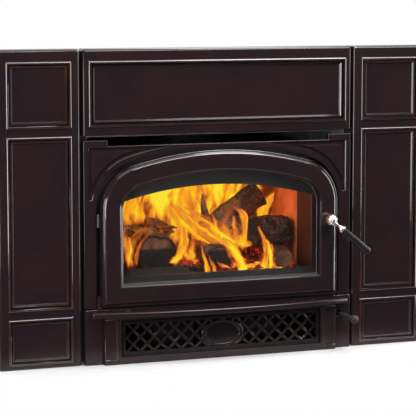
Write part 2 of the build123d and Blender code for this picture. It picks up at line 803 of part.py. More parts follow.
# --- Door ------------------------------------------------------------------------------------
with BuildPart() as door_frame:
    with BuildSketch(front_plane(door_back)):
        add(arch_face(0, door_bottom))
    extrude(amount=door_back - door_ledge)
    with BuildSketch(front_plane(door_ledge)):
        add(arch_face(door_edge_width - door_step, door_bottom + door_edge_width - door_step))
    with BuildSketch(front_plane(door_face)):
        add(arch_face(door_edge_width, door_bottom + door_edge_width))
    loft()
    # Window: a ledge that falls inwards from the front, a rebate for the glass from the back.
    with BuildSketch(front_plane(door_face + window_drop)):
        add(arch_face(window_inset + window_slope, door_bottom + window_inset + window_slope))
    with BuildSketch(front_plane(door_face)):
        add(arch_face(window_inset, door_bottom + window_inset))
    loft(mode=Mode.SUBTRACT)
    with BuildSketch(front_plane(door_ledge)):
        add(arch_face(window_opening_inset, door_bottom + window_opening_inset))
    with BuildSketch(front_plane(door_face + window_drop)):
        add(arch_face(window_inset + window_slope, door_bottom + window_inset + window_slope))
    loft(mode=Mode.SUBTRACT)
    with BuildSketch(front_plane(door_back)):
        add(arch_face(window_opening_inset, door_bottom + window_opening_inset))
    extrude(amount=door_back - door_ledge, mode=Mode.SUBTRACT)
    with BuildSketch(front_plane(door_back)):
        add(arch_face(glass_inset, door_bottom + glass_inset))
    extrude(amount=door_back - tape_front, mode=Mode.SUBTRACT)
    with BuildSketch(front_plane(door_back)):
        add(arch_face(rim_width, door_bottom + rim_width))
    extrude(amount=door_back - land_y, mode=Mode.SUBTRACT)
    # Groove for the rope gasket.
    with BuildSketch(front_plane(door_back)):
        add(arch_face(door_rope_inset, door_bottom + door_rope_inset))
        add(
            arch_face(rope_inner_inset, door_bottom + rope_inner_inset),
            mode=Mode.SUBTRACT,
        )
    extrude(amount=door_rope_seat, mode=Mode.SUBTRACT)
    with BuildSketch(front_plane(land_y)):
        with Locations(*clip_places):
            with Locations((0, clip_screw_offset)):
                Circle(clip_screw_radius + running_gap)
    extrude(amount=clip_screw_length, mode=Mode.SUBTRACT)
    with BuildSketch(front_plane(door_back)):
        with Locations((handle_x, handle_z)):
            Circle(spindle_radius + running_gap)
    extrude(amount=door_back - door_face, mode=Mode.SUBTRACT)
    # Knuckles above the casting's lugs, with notches that clear those lugs.
    for low in lug_heights:
        with BuildSketch(Plane.XY.offset(low - knuckle_clearance)):
            with Locations((hinge_x, hinge_y)):
                Circle(knuckle_radius + knuckle_clearance)
        extrude(amount=lug_thickness + 2 * knuckle_clearance, mode=Mode.SUBTRACT)
        with BuildSketch(Plane.XY.offset(low + lug_thickness + seat_gap)):
            with Locations((hinge_x, hinge_y)):
                Circle(knuckle_radius)
            with Locations((hinge_x + knuckle_radius / 2, hinge_y)):
                Rectangle(knuckle_radius, 2 * knuckle_radius)
        extrude(amount=knuckle_length)
        with BuildSketch(Plane.XY.offset(low + lug_thickness + seat_gap)):
            with Locations((hinge_x, hinge_y)):
                Circle(hinge_pin_radius + running_gap)
        extrude(amount=knuckle_length, mode=Mode.SUBTRACT)
export(door_frame, "door_frame")

with BuildPart() as door_glass:
    with BuildSketch(front_plane(land_y)):
        add(arch_face(glass_inset, door_bottom + glass_inset))
    extrude(amount=glass_thickness)
export(door_glass, "door_glass")

with BuildPart() as glass_gasket:
    with BuildSketch(front_plane(land_y - glass_thickness)):
        add(arch_face(glass_inset, door_bottom + glass_inset))
        add(
            arch_face(window_opening_inset, door_bottom + window_opening_inset),
            mode=Mode.SUBTRACT,
        )
    extrude(amount=glass_tape)
export(glass_gasket, "glass_gasket")

with BuildPart() as glass_clips:
    with BuildSketch(front_plane(land_y + clip_thickness)):
        with Locations(*clip_places):
            Rectangle(clip_length, clip_width)
            with Locations((0, clip_screw_offset)):
                Circle(clip_screw_radius + running_gap, mode=Mode.SUBTRACT)
    extrude(amount=clip_thickness)
export(glass_clips, "glass_clips")

with BuildPart() as glass_clip_screws:
    with BuildSketch(front_plane(land_y + clip_thickness)):
        with Locations(*clip_places):
            with Locations((0, clip_screw_offset)):
                Circle(clip_screw_radius)
    extrude(amount=clip_thickness + clip_screw_length)
    with BuildSketch(front_plane(land_y + clip_thickness + clip_thickness)):
        with Locations(*clip_places):
            with Locations((0, clip_screw_offset)):
                Circle(1.8 * clip_screw_radius)
    extrude(amount=clip_thickness)
export(glass_clip_screws, "glass_clip_screws")

with BuildPart() as door_gasket:
    with BuildSketch(front_plane(plate_front - seat_gap)):
        add(arch_face(door_rope_inset, door_bottom + door_rope_inset))
        add(
            arch_face(rope_inner_inset, door_bottom + rope_inner_inset),
            mode=Mode.SUBTRACT,
        )
    extrude(amount=door_back_gap + door_rope_seat - seat_gap)
export(door_gasket, "door_gasket")

with BuildPart() as hinge_pins:
    for low in lug_heights:
        with BuildSketch(Plane.XY.offset(low)):
            with Locations((hinge_x, hinge_y)):
                Circle(hinge_pin_radius)
        extrude(amount=lug_thickness + seat_gap + knuckle_length)
export(hinge_pins, "hinge_pins")

# --- Handle and latch ---------------------------------------------------------------------------
hub_y = door_face - hub_standoff - hub_radius
drop = radians(handle_drop)
lean = radians(handle_lean)
grip_direction = (cos(lean) * cos(drop), -sin(lean), -cos(lean) * sin(drop))
grip_axis = Axis((handle_x, hub_y, handle_z), grip_direction)
profile_plane = Plane(
    origin=(handle_x, hub_y, handle_z),
    x_dir=(sin(drop), 0, cos(drop)),
    z_dir=(cos(drop) * sin(lean), cos(lean), -sin(drop) * sin(lean)),
)
grip_end = stem_length + grip_length

with BuildPart() as handle_hub:
    with Locations((handle_x, hub_y, handle_z)):
        Sphere(hub_radius)
        for index in range(hub_flutes // 2):
            Torus(
                hub_radius + flute_radius / 2,
                flute_radius,
                rotation=(0, 360 * index / hub_flutes, 0),
                mode=Mode.SUBTRACT,
            )
    with BuildSketch(front_plane(door_face - seat_gap)):
        with Locations((handle_x, handle_z)):
            Circle(neck_radius)
    extrude(amount=hub_standoff + hub_radius / 2)
    with BuildSketch(front_plane(hub_y)):
        with Locations((handle_x, handle_z)):
            Circle(cap_radius)
    extrude(amount=hub_radius + cap_proud)
    with BuildSketch(profile_plane):
        with BuildLine():
            Polyline(
                (stem_root, hub_radius / 2),
                (0, hub_radius / 2),
                (0, grip_end - grip_tip_radius * 2),
                (tang_radius, grip_end - grip_tip_radius * 2),
                (tang_radius, stem_length),
                (stem_flare, stem_length),
                (stem_flare, stem_length - stem_collar),
            )
            ThreePointArc(
                (stem_flare, stem_length - stem_collar),
                (stem_waist, (stem_length + hub_radius) / 2),
                (stem_root, hub_radius / 2),
            )
        make_face()
    revolve(axis=grip_axis)
    with BuildSketch(front_plane(door_face)):
        with Locations((handle_x, handle_z)):
            Circle(spindle_radius + running_gap)
    extrude(amount=hub_standoff + hub_radius, mode=Mode.SUBTRACT)
export(handle_hub, "handle_hub")

with BuildPart() as handle_grip:
    with BuildSketch(profile_plane):
        with BuildLine():
            Polyline(
                (0, grip_end),
                (0, stem_length),
                (grip_root_radius, stem_length),
                (grip_tip_radius, grip_end - grip_tip_round),
            )
            RadiusArc(
                (grip_tip_radius, grip_end - grip_tip_round),
                (grip_tip_radius - grip_tip_round, grip_end),
                -grip_tip_round,
            )
            Line((grip_tip_radius - grip_tip_round, grip_end), (0, grip_end))
        make_face()
    revolve(axis=grip_axis)
    with BuildSketch(profile_plane):
        with BuildLine():
            Polyline(
                (0, stem_length),
                (tang_radius + running_gap, stem_length),
                (tang_radius + running_gap, grip_end - grip_tip_radius * 2 + seat_gap),
                (0, grip_end - grip_tip_radius * 2 + seat_gap),
                close=True,
            )
        make_face()
    revolve(axis=grip_axis, mode=Mode.SUBTRACT)
export(handle_grip, "handle_grip")

cam_back = door_back + cam_clearance + cam_thickness
spindle_end = cam_back + nut_height
with BuildPart() as handle_spindle:
    with BuildSketch(front_plane(spindle_end)):
        with Locations((handle_x, handle_z)):
            Circle(spindle_radius)
    extrude(amount=spindle_end - door_face + hub_standoff + hub_radius)
export(handle_spindle, "handle_spindle")

with BuildPart() as latch_cam:
    with BuildSketch(front_plane(cam_back)):
        with Locations((handle_x, handle_z)):
            Circle(cam_width / 2)
        with Locations((handle_x + cam_length / 2, handle_z)):
            Rectangle(cam_length, cam_width)
        with Locations((handle_x, handle_z)):
            Circle(spindle_radius + running_gap, mode=Mode.SUBTRACT)
    extrude(amount=cam_thickness)
    tip_edges = latch_cam.faces().sort_by(Axis.X)[-1].edges().filter_by(Axis.Y)
    fillet(tip_edges, radius=cam_width / 4)
export(latch_cam, "latch_cam")

with BuildPart() as spindle_nut:
    with BuildSketch(front_plane(spindle_end)):
        with Locations((handle_x, handle_z)):
            RegularPolygon(cam_width / 2, 6)
            Circle(spindle_radius + running_gap, mode=Mode.SUBTRACT)
    extrude(amount=nut_height)
export(spindle_nut, "spindle_nut")

with BuildPart() as latch_keeper:
    with BuildSketch(front_plane(plate_front)):
        with Locations((keeper_x + keeper_width / 2, handle_z)):
            Rectangle(keeper_width, keeper_height)
    extrude(amount=keeper_depth)
    chamfer(latch_keeper.edges().group_by(Axis.Y)[0], length=1)
export(latch_keeper, "latch_keeper")

# --- Air control -----------------------------------------------------------------------------
knob_y = lower_face - knob_reach
with BuildPart() as air_rod:
    with BuildSketch(front_plane(knob_y + rod_length)):
        with Locations((rod_x, rod_z)):
            Circle(rod_radius)
    extrude(amount=rod_length)
export(air_rod, "air_rod")

with BuildPart() as air_knob:
    with Locations((rod_x, knob_y, rod_z)):
        Sphere(knob_radius)
    with BuildSketch(front_plane(knob_y + knob_radius + knob_neck)):
        with Locations((rod_x, rod_z)):
            Circle(rod_radius + knob_neck)
    extrude(amount=knob_radius)
    with BuildSketch(front_plane(knob_y)):
        with Locations((rod_x, rod_z)):
            Circle(rod_radius + running_gap)
    extrude(amount=-(knob_radius + knob_neck), mode=Mode.SUBTRACT)
export(air_knob, "air_knob")

shutter_z = rod_z + rod_radius
with BuildPart() as air_shutter:
    with BuildSketch(Plane.XY.offset(shutter_z)):
        with Locations(((shutter_left + shutter_right) / 2, shutter_y + shutter_length / 2)):
            Rectangle(shutter_right - shutter_left, shutter_length)
    extrude(amount=shutter_thickness)
export(air_shutter, "air_shutter")

with BuildPart() as rod_guide:
    with BuildSketch(front_plane(guide_y + guide_thickness)):
        with Locations((plate_half_width - guide_width / 2, rod_z)):
            Rectangle(guide_width, guide_height)
        with Locations((rod_x, rod_z)):
            Circle(rod_radius + running_gap, mode=Mode.SUBTRACT)
    extrude(amount=guide_thickness)
export(rod_guide, "rod_guide")

# Box under the firebox floor. The shutter covers its inlet when it is pushed in.
air_box_bottom = shutter_z + shutter_thickness + shutter_gap
air_box_middle = (air_box_left + air_box_width / 2, shutter_y + air_box_length / 2)
with BuildPart() as air_box:
    with BuildSketch(Plane.XY.offset(air_box_bottom)):
        with Locations(air_box_middle):
            Rectangle(air_box_width, air_box_length)
    extrude(amount=plate_bottom - air_box_bottom)
    with BuildSketch(Plane.XY.offset(air_box_bottom + sheet)):
        with Locations(air_box_middle):
            Rectangle(air_box_width - 2 * sheet, air_box_length - 2 * sheet)
    extrude(amount=plate_bottom - air_box_bottom - sheet, mode=Mode.SUBTRACT)
    with BuildSketch(Plane.XY.offset(air_box_bottom)):
        with Locations((air_box_middle[0], shutter_y + shutter_length + 1 + air_inlet / 2)):
            Rectangle(air_inlet, air_inlet)
    extrude(amount=sheet, mode=Mode.SUBTRACT)
export(air_box, "air_box")

# --- Steel face plate and firebox ---------------------------------------------------------------
aperture_centre = aperture_peak - aperture_radius
aperture_side = aperture_centre + sqrt(aperture_radius**2 - aperture_half_width**2)
with BuildPart() as face_plate:
    with BuildSketch(front_plane(plate_back)):
        with Locations((0, (plate_bottom + plate_top) / 2)):
            Rectangle(2 * plate_half_width, plate_top - plate_bottom)
        with BuildLine():
            Polyline(
                (-aperture_half_width, aperture_side),
                (-aperture_half_width, aperture_bottom),
                (aperture_half_width, aperture_bottom),
                (aperture_half_width, aperture_side),
            )
            ThreePointArc(
                (aperture_half_width, aperture_side),
                (0, aperture_peak),
                (-aperture_half_width, aperture_side),
            )
        make_face(mode=Mode.SUBTRACT)
    extrude(amount=plate_thickness)
export(face_plate, "face_plate")

firebox_middle = (plate_back + firebox_rear_y) / 2
baffle_front = plate_back + baffle_gap
with BuildPart() as firebox_floor:
    with BuildSketch(Plane.XY.offset(plate_bottom)):
        with Locations((0, firebox_middle)):
            Rectangle(2 * firebox_half_width, firebox_depth)
        with Locations((air_box_middle[0], air_box_middle[1])):
            SlotOverall(air_box_width / 2, air_port_width, rotation=90, mode=Mode.SUBTRACT)
    extrude(amount=steel)
export(firebox_floor, "firebox_floor")

wall_height = firebox_top_z - steel - floor_top
with BuildPart() as firebox_left:
    with BuildSketch(Plane.XY.offset(floor_top)):
        with Locations((-firebox_half_width + steel / 2, firebox_middle)):
            Rectangle(steel, firebox_depth)
    extrude(amount=wall_height)
export(firebox_left, "firebox_left")

with BuildPart() as firebox_right:
    mirror(firebox_left.part, about=Plane.YZ)
export(firebox_right, "firebox_right")

with BuildPart() as firebox_rear:
    with BuildSketch(front_plane(firebox_rear_y)):
        with Locations((0, floor_top + wall_height / 2)):
            Rectangle(2 * (firebox_half_width - steel), wall_height)
    extrude(amount=steel)
export(firebox_rear, "firebox_rear")

with BuildPart() as firebox_top:
    with BuildSketch(Plane.XY.offset(firebox_top_z - steel)):
        with Locations((0, firebox_middle)):
            Rectangle(2 * firebox_half_width, firebox_depth)
        with Locations((0, flue_y)):
            Circle(flue_radius - collar_ledge, mode=Mode.SUBTRACT)
    extrude(amount=steel)
export(firebox_top, "firebox_top")

# Angles between the base pan and the firebox floor.
support_x = firebox_half_width - support_inset
support_side = support_x + (support_width - steel) / 2
support_y = firebox_rear_y - support_setback
with BuildPart() as firebox_supports:
    with BuildSketch(Plane.XY.offset(sheet)):
        for side in (-1, 1):
            with Locations((side * support_x, support_y)):
                Rectangle(support_width, steel)
            with Locations((side * support_side, support_y - support_width / 2)):
                Rectangle(steel, support_width)
    extrude(amount=plate_bottom - sheet)
export(firebox_supports, "firebox_supports")

# --- Firebricks ------------------------------------------------------------------------------------
floor_bricks_deep = 3
floor_bricks_wide = 5
side_courses = 2
rear_bricks_wide = 4
brick_run = firebox_depth - steel
with BuildPart() as floor_bricks:
    with BuildSketch(Plane.XY.offset(floor_top)):
        with Locations((0, plate_back + brick_run / 2)):
            with GridLocations(
                2 * (firebox_half_width - steel) / floor_bricks_wide,
                brick_run / floor_bricks_deep,
                floor_bricks_wide,
                floor_bricks_deep,
            ):
                Rectangle(
                    2 * (firebox_half_width - steel) / floor_bricks_wide - brick_joint,
                    brick_run / floor_bricks_deep - brick_joint,
                )
    extrude(amount=brick_thickness)
export(floor_bricks, "floor_bricks")

course = side_brick_height / side_courses
with BuildPart() as left_bricks:
    with BuildSketch(Plane.YZ.offset(-lining_half_width)):
        with Locations((plate_back + brick_run / 2, brick_floor_top + side_brick_height / 2)):
            with GridLocations(brick_run / floor_bricks_deep, course, floor_bricks_deep, side_courses):
                Rectangle(brick_run / floor_bricks_deep - brick_joint, course - brick_joint)
    extrude(amount=-brick_thickness)
export(left_bricks, "left_bricks")

with BuildPart() as right_bricks:
    mirror(left_bricks.part, about=Plane.YZ)
export(right_bricks, "right_bricks")

rear_pitch = 2 * lining_half_width / rear_bricks_wide
with BuildPart() as rear_bricks:
    with BuildSketch(front_plane(lining_rear_y + brick_thickness)):
        with Locations((0, brick_floor_top + side_brick_height / 2)):
            with GridLocations(rear_pitch, course, rear_bricks_wide, side_courses):
                Rectangle(rear_pitch - brick_joint, course - brick_joint)
    extrude(amount=brick_thickness)
export(rear_bricks, "rear_bricks")

with BuildPart() as log_retainer:
    with BuildSketch(front_plane(plate_back + retainer_thickness)):
        with Locations((0, brick_floor_top + retainer_height / 2)):
            Rectangle(2 * (lining_half_width - seat_gap), retainer_height)
    extrude(amount=retainer_thickness)
export(log_retainer, "log_retainer")

# Angle that turns the air-wash down over the glass.
inner_half_width = firebox_half_width - steel
with BuildPart() as airwash_manifold:
    with BuildSketch(Plane.YZ.offset(-inner_half_width)):
        with Locations((plate_back + deflector_reach / 2, firebox_top_z - steel - deflector_height)):
            Rectangle(deflector_reach, sheet)
        with Locations(
            (
                plate_back + deflector_reach - sheet / 2,
                firebox_top_z - steel - (deflector_height - sheet / 2) / 2,
            )
        ):
            Rectangle(sheet, deflector_height - sheet / 2)
    extrude(amount=2 * inner_half_width)
    with BuildSketch(Plane.XY.offset(firebox_top_z - steel - deflector_height - sheet)):
        with Locations((0, plate_back + deflector_reach / 2)):
            with GridLocations(airwash_pitch, 1, airwash_slots, 1):
                SlotOverall(airwash_slot_length, airwash_slot_width)
    extrude(amount=2 * sheet, mode=Mode.SUBTRACT)
export(airwash_manifold, "airwash_manifold")

with BuildPart() as burn_tubes:
    with BuildSketch(Plane.YZ.offset(-inner_half_width)):
        for index in range(tube_count):
            with Locations((first_tube_y + index * tube_pitch, tube_z)):
                Circle(tube_radius)
                Circle(tube_radius - sheet, mode=Mode.SUBTRACT)
    extrude(amount=2 * inner_half_width)
export(burn_tubes, "burn_tubes")

# The board stops behind the air-wash angle, so the smoke passes in front of it.
with BuildPart() as baffle_board:
    with BuildSketch(Plane.XY.offset(baffle_top - baffle_thickness)):
        with Locations((0, (baffle_front + firebox_rear_y - steel) / 2)):
            Rectangle(2 * (inner_half_width - seat_gap), firebox_rear_y - steel - baffle_front)
    extrude(amount=baffle_thickness)
export(baffle_board, "baffle_board")

collar_outer = flue_radius + collar_wall
with BuildPart() as flue_collar:
    with BuildSketch(Plane.XY.offset(firebox_top_z)):
        with Locations((0, flue_y)):
            Circle(collar_outer + collar_flange)
    extrude(amount=collar_wall)
    with BuildSketch(Plane.XY.offset(firebox_top_z)):
        with Locations((0, flue_y)):
            Circle(collar_outer)
    extrude(amount=collar_height)
    with BuildSketch(Plane.XY.offset(firebox_top_z)):
        with Locations((0, flue_y)):
            Circle(flue_radius)
    extrude(amount=collar_height, mode=Mode.SUBTRACT)
export(flue_collar, "flue_collar")


# --- Convection casing ---------------------------------------------------------------------------
def casing_plan():
    """Plan of the casing: straight sides at the front that taper to the rear."""
    with BuildSketch() as outline:
        with BuildLine():
            Polyline(
                (-casing_front_half, plate_front),
                (casing_front_half, plate_front),
                (casing_front_half, plate_front + casing_straight),
                (casing_rear_half_width, casing_rear_y),
                (-casing_rear_half_width, casing_rear_y),
                (-casing_front_half, plate_front + casing_straight),
                close=True,
            )
        make_face()
    return outline.sketch_local


with BuildPart() as base_pan:
    with BuildSketch(Plane.XY):
        add(casing_plan())
    extrude(amount=sheet)
export(base_pan, "base_pan")

casing_wall_height = casing_height - 2 * sheet
with BuildPart() as casing_left:
    with BuildSketch(Plane.XY.offset(sheet)):
        with BuildLine():
            Polyline(
                (-casing_front_half, plate_front),
                (-plate_half_width, plate_front),
                (-plate_half_width, plate_front + casing_straight),
                (-casing_rear_half_width + sheet, casing_rear_y),
                (-casing_rear_half_width, casing_rear_y),
                (-casing_front_half, plate_front + casing_straight),
                close=True,
            )
        make_face()
    extrude(amount=casing_wall_height)
export(casing_left, "casing_left")

with BuildPart() as casing_right:
    mirror(casing_left.part, about=Plane.YZ)
export(casing_right, "casing_right")

with BuildPart() as casing_rear:
    with BuildSketch(front_plane(casing_rear_y)):
        with Locations((0, sheet + casing_wall_height / 2)):
            Rectangle(2 * (casing_rear_half_width - sheet), casing_wall_height)
    extrude(amount=sheet)
export(casing_rear, "casing_rear")

with BuildPart() as casing_top:
    with BuildSketch(Plane.XY.offset(casing_height - sheet)):
        add(casing_plan())
        with Locations((0, flue_y)):
            Circle(collar_outer + collar_hole_gap, mode=Mode.SUBTRACT)
    extrude(amount=sheet)
export(casing_top, "casing_top")

# --- Blower ------------------------------------------------------------------------------------------
with BuildPart() as blower_bracket:
    with BuildSketch(Plane.XY.offset(sheet)):
        with Locations((0, blower_y)):
            Rectangle(motor_length + 2 * bracket_foot, 2 * motor_radius)
    extrude(amount=bracket_steel)
    for side in (-1, 1):
        with BuildSketch(Plane.YZ.offset(side * saddle_x - bracket_steel / 2)):
            with Locations((blower_y, (sheet + bracket_steel + blower_z) / 2)):
                Rectangle(2 * saddle_half_width, blower_z - sheet - bracket_steel)
            with Locations((blower_y, blower_z)):
                Circle(motor_radius + seat_gap, mode=Mode.SUBTRACT)
        extrude(amount=bracket_steel)
export(blower_bracket, "blower_bracket")

with BuildPart() as blower_motor:
    with BuildSketch(Plane.YZ.offset(-motor_length / 2)):
        with Locations((blower_y, blower_z)):
            Circle(motor_radius)
    extrude(amount=motor_length)
    fillet(blower_motor.edges(), radius=motor_edge_round)
    with BuildSketch(Plane.YZ.offset(-motor_length / 2)):
        with Locations((blower_y, blower_z)):
            Circle(blower_shaft_radius + running_gap)
    extrude(amount=motor_length, mode=Mode.SUBTRACT)
export(blower_motor, "blower_motor")

wheel_end = wheel_start + wheel_length
with BuildPart() as blower_shaft:
    with BuildSketch(Plane.YZ.offset(-wheel_end)):
        with Locations((blower_y, blower_z)):
            Circle(blower_shaft_radius)
    extrude(amount=2 * wheel_end)
export(blower_shaft, "blower_shaft")

blade_middle = wheel_radius - blade_depth / 2
with BuildPart() as blower_wheels:
    for side in (-1, 1):
        with BuildSketch(Plane.YZ.offset(side * wheel_start)):
            with Locations((blower_y, blower_z)):
                Circle(wheel_radius)
                Circle(wheel_radius - blade_depth, mode=Mode.SUBTRACT)
        extrude(amount=side * sheet)
        with BuildSketch(Plane.YZ.offset(side * (wheel_end - sheet))):
            with Locations((blower_y, blower_z)):
                Circle(wheel_radius)
                Circle(wheel_radius - blade_depth, mode=Mode.SUBTRACT)
        extrude(amount=side * sheet)
        with BuildSketch(Plane.YZ.offset(side * (wheel_start + sheet / 2))):
            with Locations((blower_y, blower_z)):
                with PolarLocations(blade_middle, wheel_blades):
                    Rectangle(blade_depth - 1, blade_thickness, rotation=blade_angle)
        extrude(amount=side * (wheel_length - sheet))
        with BuildSketch(Plane.YZ.offset(side * (wheel_start + wheel_length / 2))):
            with Locations((blower_y, blower_z)):
                Circle(blade_middle)
        extrude(amount=side * sheet)
        with BuildSketch(Plane.YZ.offset(side * (wheel_start + wheel_length / 2 - hub_length / 2))):
            with Locations((blower_y, blower_z)):
                Circle(2 * blower_shaft_radius)
        extrude(amount=side * hub_length)
        with BuildSketch(Plane.YZ.offset(side * wheel_start)):
            with Locations((blower_y, blower_z)):
                Circle(blower_shaft_radius + running_gap)
        extrude(amount=side * wheel_length, mode=Mode.SUBTRACT)
export(blower_wheels, "blower_wheels")

# Housings round the wheels, open at the rear, with an eye at each end.
housing_radius = wheel_radius + scroll_gap
housing_half = wheel_length / 2 + scroll_end_gap
housing_bottom = blower_z - housing_radius
with BuildPart() as blower_scrolls:
    for side in (-1, 1):
        middle = side * (wheel_start + wheel_length / 2)
        with BuildSketch(Plane.YZ.offset(middle - housing_half - scroll_sheet)):
            with Locations((blower_y, blower_z)):
                Circle(housing_radius + scroll_sheet)
            with Locations((blower_y + outlet_reach / 2, housing_bottom + outlet_height / 2)):
                Rectangle(outlet_reach, outlet_height + 2 * scroll_sheet)
        extrude(amount=2 * (housing_half + scroll_sheet))
        with BuildSketch(Plane.YZ.offset(middle - housing_half)):
            with Locations((blower_y, blower_z)):
                Circle(housing_radius)
            with Locations((blower_y + outlet_reach / 2, housing_bottom + outlet_height / 2)):
                Rectangle(outlet_reach, outlet_height)
        extrude(amount=2 * housing_half, mode=Mode.SUBTRACT)
        with BuildSketch(Plane.YZ.offset(middle - housing_half - scroll_sheet)):
            with Locations((blower_y, blower_z)):
                Circle(wheel_radius - blade_depth)
        extrude(amount=2 * (housing_half + scroll_sheet), mode=Mode.SUBTRACT)
        # Feet on the base pan.
        for end in (-1, 1):
            foot_x = middle + end * (housing_half + scroll_sheet / 2)
            with BuildSketch(Plane.XY.offset(sheet)):
                with Locations((foot_x, blower_y)):
                    Rectangle(scroll_sheet, 2 * saddle_half_width)
            extrude(amount=housing_bottom - sheet + scroll_gap)
export(blower_scrolls, "blower_scrolls")

# --- Fire: embers and charred logs ------------------------------------------------------------------
bed_front = plate_back + retainer_thickness
bed_rear = lining_rear_y - bed_margin
bed_half_width = lining_half_width - bed_margin
mound_rear = bed_front + mound_depth
with BuildPart() as ember_bed:
    with BuildSketch(Plane.XY.offset(brick_floor_top)):
        with Locations((0, (bed_front + bed_rear) / 2)):
            Rectangle(2 * bed_half_width, bed_rear - bed_front)
    extrude(amount=ember_top - brick_floor_top)
    chamfer(ember_bed.edges().group_by(Axis.Z)[-1], length=ember_slope)
    with BuildSketch(Plane.YZ.offset(-bed_half_width + mound_inset)):
        with BuildLine():
            Polyline(
                (bed_front + ember_slope, ember_top - ember_slope),
                (bed_front + ember_slope, ember_top),
                (bed_front + 2 * ember_slope, ember_top + ember_mound),
                (mound_rear - ember_slope, ember_top + ember_mound),
                (mound_rear, ember_top - ember_slope),
                close=True,
            )
        make_face()
    extrude(amount=mound_length)
export(ember_bed, "ember_bed")


def log_points(width, height):
    """Corners of a log's section: flat below and above, uneven at the sides."""
    return [
        (-0.3 * width, -0.5 * height),
        (0.28 * width, -0.5 * height),
        (0.46 * width, -0.24 * height),
        (0.5 * width, 0.1 * height),
        (0.38 * width, 0.36 * height),
        (0.2 * width, 0.5 * height),
        (-0.24 * width, 0.5 * height),
        (-0.42 * width, 0.3 * height),
        (-0.5 * width, -0.06 * height),
        (-0.44 * width, -0.3 * height),
    ]


def add_log(plane, centre, width, height, length):
    """Split log: an uneven prism from the plane, towards its back."""
    with BuildSketch(plane) as section:
        with Locations(centre):
            Polygon(*log_points(width, height), align=None)
    extrude(section.sketch, amount=-length)


with BuildPart() as front_logs:
    add_log(
        front_plane(bed_front + left_log_setback),
        (left_log_x, ember_top + left_log_height / 2),
        left_log_width,
        left_log_height,
        left_log_length,
    )
    add_log(
        front_plane(bed_front + middle_log_setback),
        (middle_log_x, ember_top + middle_log_height / 2),
        middle_log_width,
        middle_log_height,
        middle_log_length,
    )
    add_log(
        front_plane(bed_front + right_log_setback),
        (right_log_x, ember_top + right_log_height / 2),
        right_log_width,
        right_log_height,
        middle_log_length,
    )
export(front_logs, "front_logs")

with BuildPart() as rear_logs:
    add_log(
        Plane.YZ.offset(rear_log_end),
        (rear_log_y, ember_top + rear_log_size / 2),
        rear_log_size,
        rear_log_size,
        rear_log_length,
    )
    for base_x in base_log_places:
        add_log(
            front_plane(base_log_y),
            (base_x, ember_top + base_log_height / 2),
            base_log_width,
            base_log_height,
            base_log_length,
        )
export(rear_logs, "rear_logs")

# The leaning log stands on a base log, against the back of the top log.
top_log_base = ember_top + base_log_height
slope = radians(leaning_log_slope)
leaning_log_y = top_log_y + (top_log_width + leaning_log_size) / 2 + seat_gap
leaning_length = (leaning_log_rise - leaning_log_size / 2 * cos(slope)) / sin(slope)
leaning_plane = Plane(
    origin=(leaning_log_x, leaning_log_y, top_log_base + leaning_log_rise),
    x_dir=(0, 1, 0),
    z_dir=(cos(slope), 0, sin(slope)),
)
with BuildPart() as top_logs:
    add_log(
        Plane.YZ.offset(top_log_end),
        (top_log_y, top_log_base + top_log_height / 2),
        top_log_width,
        top_log_height,
        top_log_length,
    )
    add_log(leaning_plane, (0, 0), leaning_log_size, leaning_log_size, leaning_length)
export(top_logs, "top_logs")
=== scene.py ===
import json
import math
import random

import bmesh
import bpy
import numpy as np
from mathutils import Matrix, Vector, noise


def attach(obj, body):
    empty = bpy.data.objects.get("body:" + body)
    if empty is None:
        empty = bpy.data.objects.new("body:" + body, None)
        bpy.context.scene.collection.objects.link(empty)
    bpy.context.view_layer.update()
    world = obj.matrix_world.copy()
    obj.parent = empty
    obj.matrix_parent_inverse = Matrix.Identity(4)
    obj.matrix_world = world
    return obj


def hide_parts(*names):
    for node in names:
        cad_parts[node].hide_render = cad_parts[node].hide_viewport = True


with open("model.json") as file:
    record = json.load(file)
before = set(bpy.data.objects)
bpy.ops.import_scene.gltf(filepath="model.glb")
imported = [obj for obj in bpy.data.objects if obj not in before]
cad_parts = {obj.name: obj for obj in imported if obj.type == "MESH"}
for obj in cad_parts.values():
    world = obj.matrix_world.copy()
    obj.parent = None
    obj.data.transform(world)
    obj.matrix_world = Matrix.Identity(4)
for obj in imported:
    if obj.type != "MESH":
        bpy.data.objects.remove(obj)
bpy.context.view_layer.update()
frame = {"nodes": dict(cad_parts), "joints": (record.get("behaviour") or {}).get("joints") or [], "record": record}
nodes = frame["nodes"]
scene = bpy.context.scene
scene.view_settings.view_transform = "Standard"

# Lengths are in metres, in the frame's axes: X to the right, Y to the back, Z up. Logs, embers and
# the depths of flames are worked out in mm, and flames are drawn in pixels of the camera's picture.
mm = 1000  # in a metre
camera_place = (-1.5698, -4.1709, 0.8887)
camera_tilt, camera_pan = math.radians(90 - 6.774), math.radians(-20.436)
lens, sensor, picture_px = 158.58, 36.0, 416


# ---------------------------------------------------------------- node helpers

def new_material(name):
    """A material, its node tree and shader, and the place on the object as a socket."""
    m = bpy.data.materials.new(name)
    m.use_nodes = True
    tree = m.node_tree
    shader = tree.nodes["Principled BSDF"]
    place = tree.nodes.new("ShaderNodeTexCoord")
    return m, tree, shader, place.outputs["Object"]


def noise_node(tree, place, scale, detail=4.0, rough=0.55, stretch=None, twist=0.0):
    """Noise from 0 to 1, mostly between 0.3 and 0.7."""
    if stretch:
        m = tree.nodes.new("ShaderNodeMapping")
        m.inputs["Scale"].default_value = stretch
        tree.links.new(place, m.inputs["Vector"])
        place = m.outputs["Vector"]
    n = tree.nodes.new("ShaderNodeTexNoise")
    n.inputs["Scale"].default_value = scale
    n.inputs["Detail"].default_value = detail
    n.inputs["Roughness"].default_value = rough
    n.inputs["Distortion"].default_value = twist
    tree.links.new(place, n.inputs["Vector"])
    return n.outputs["Fac"]


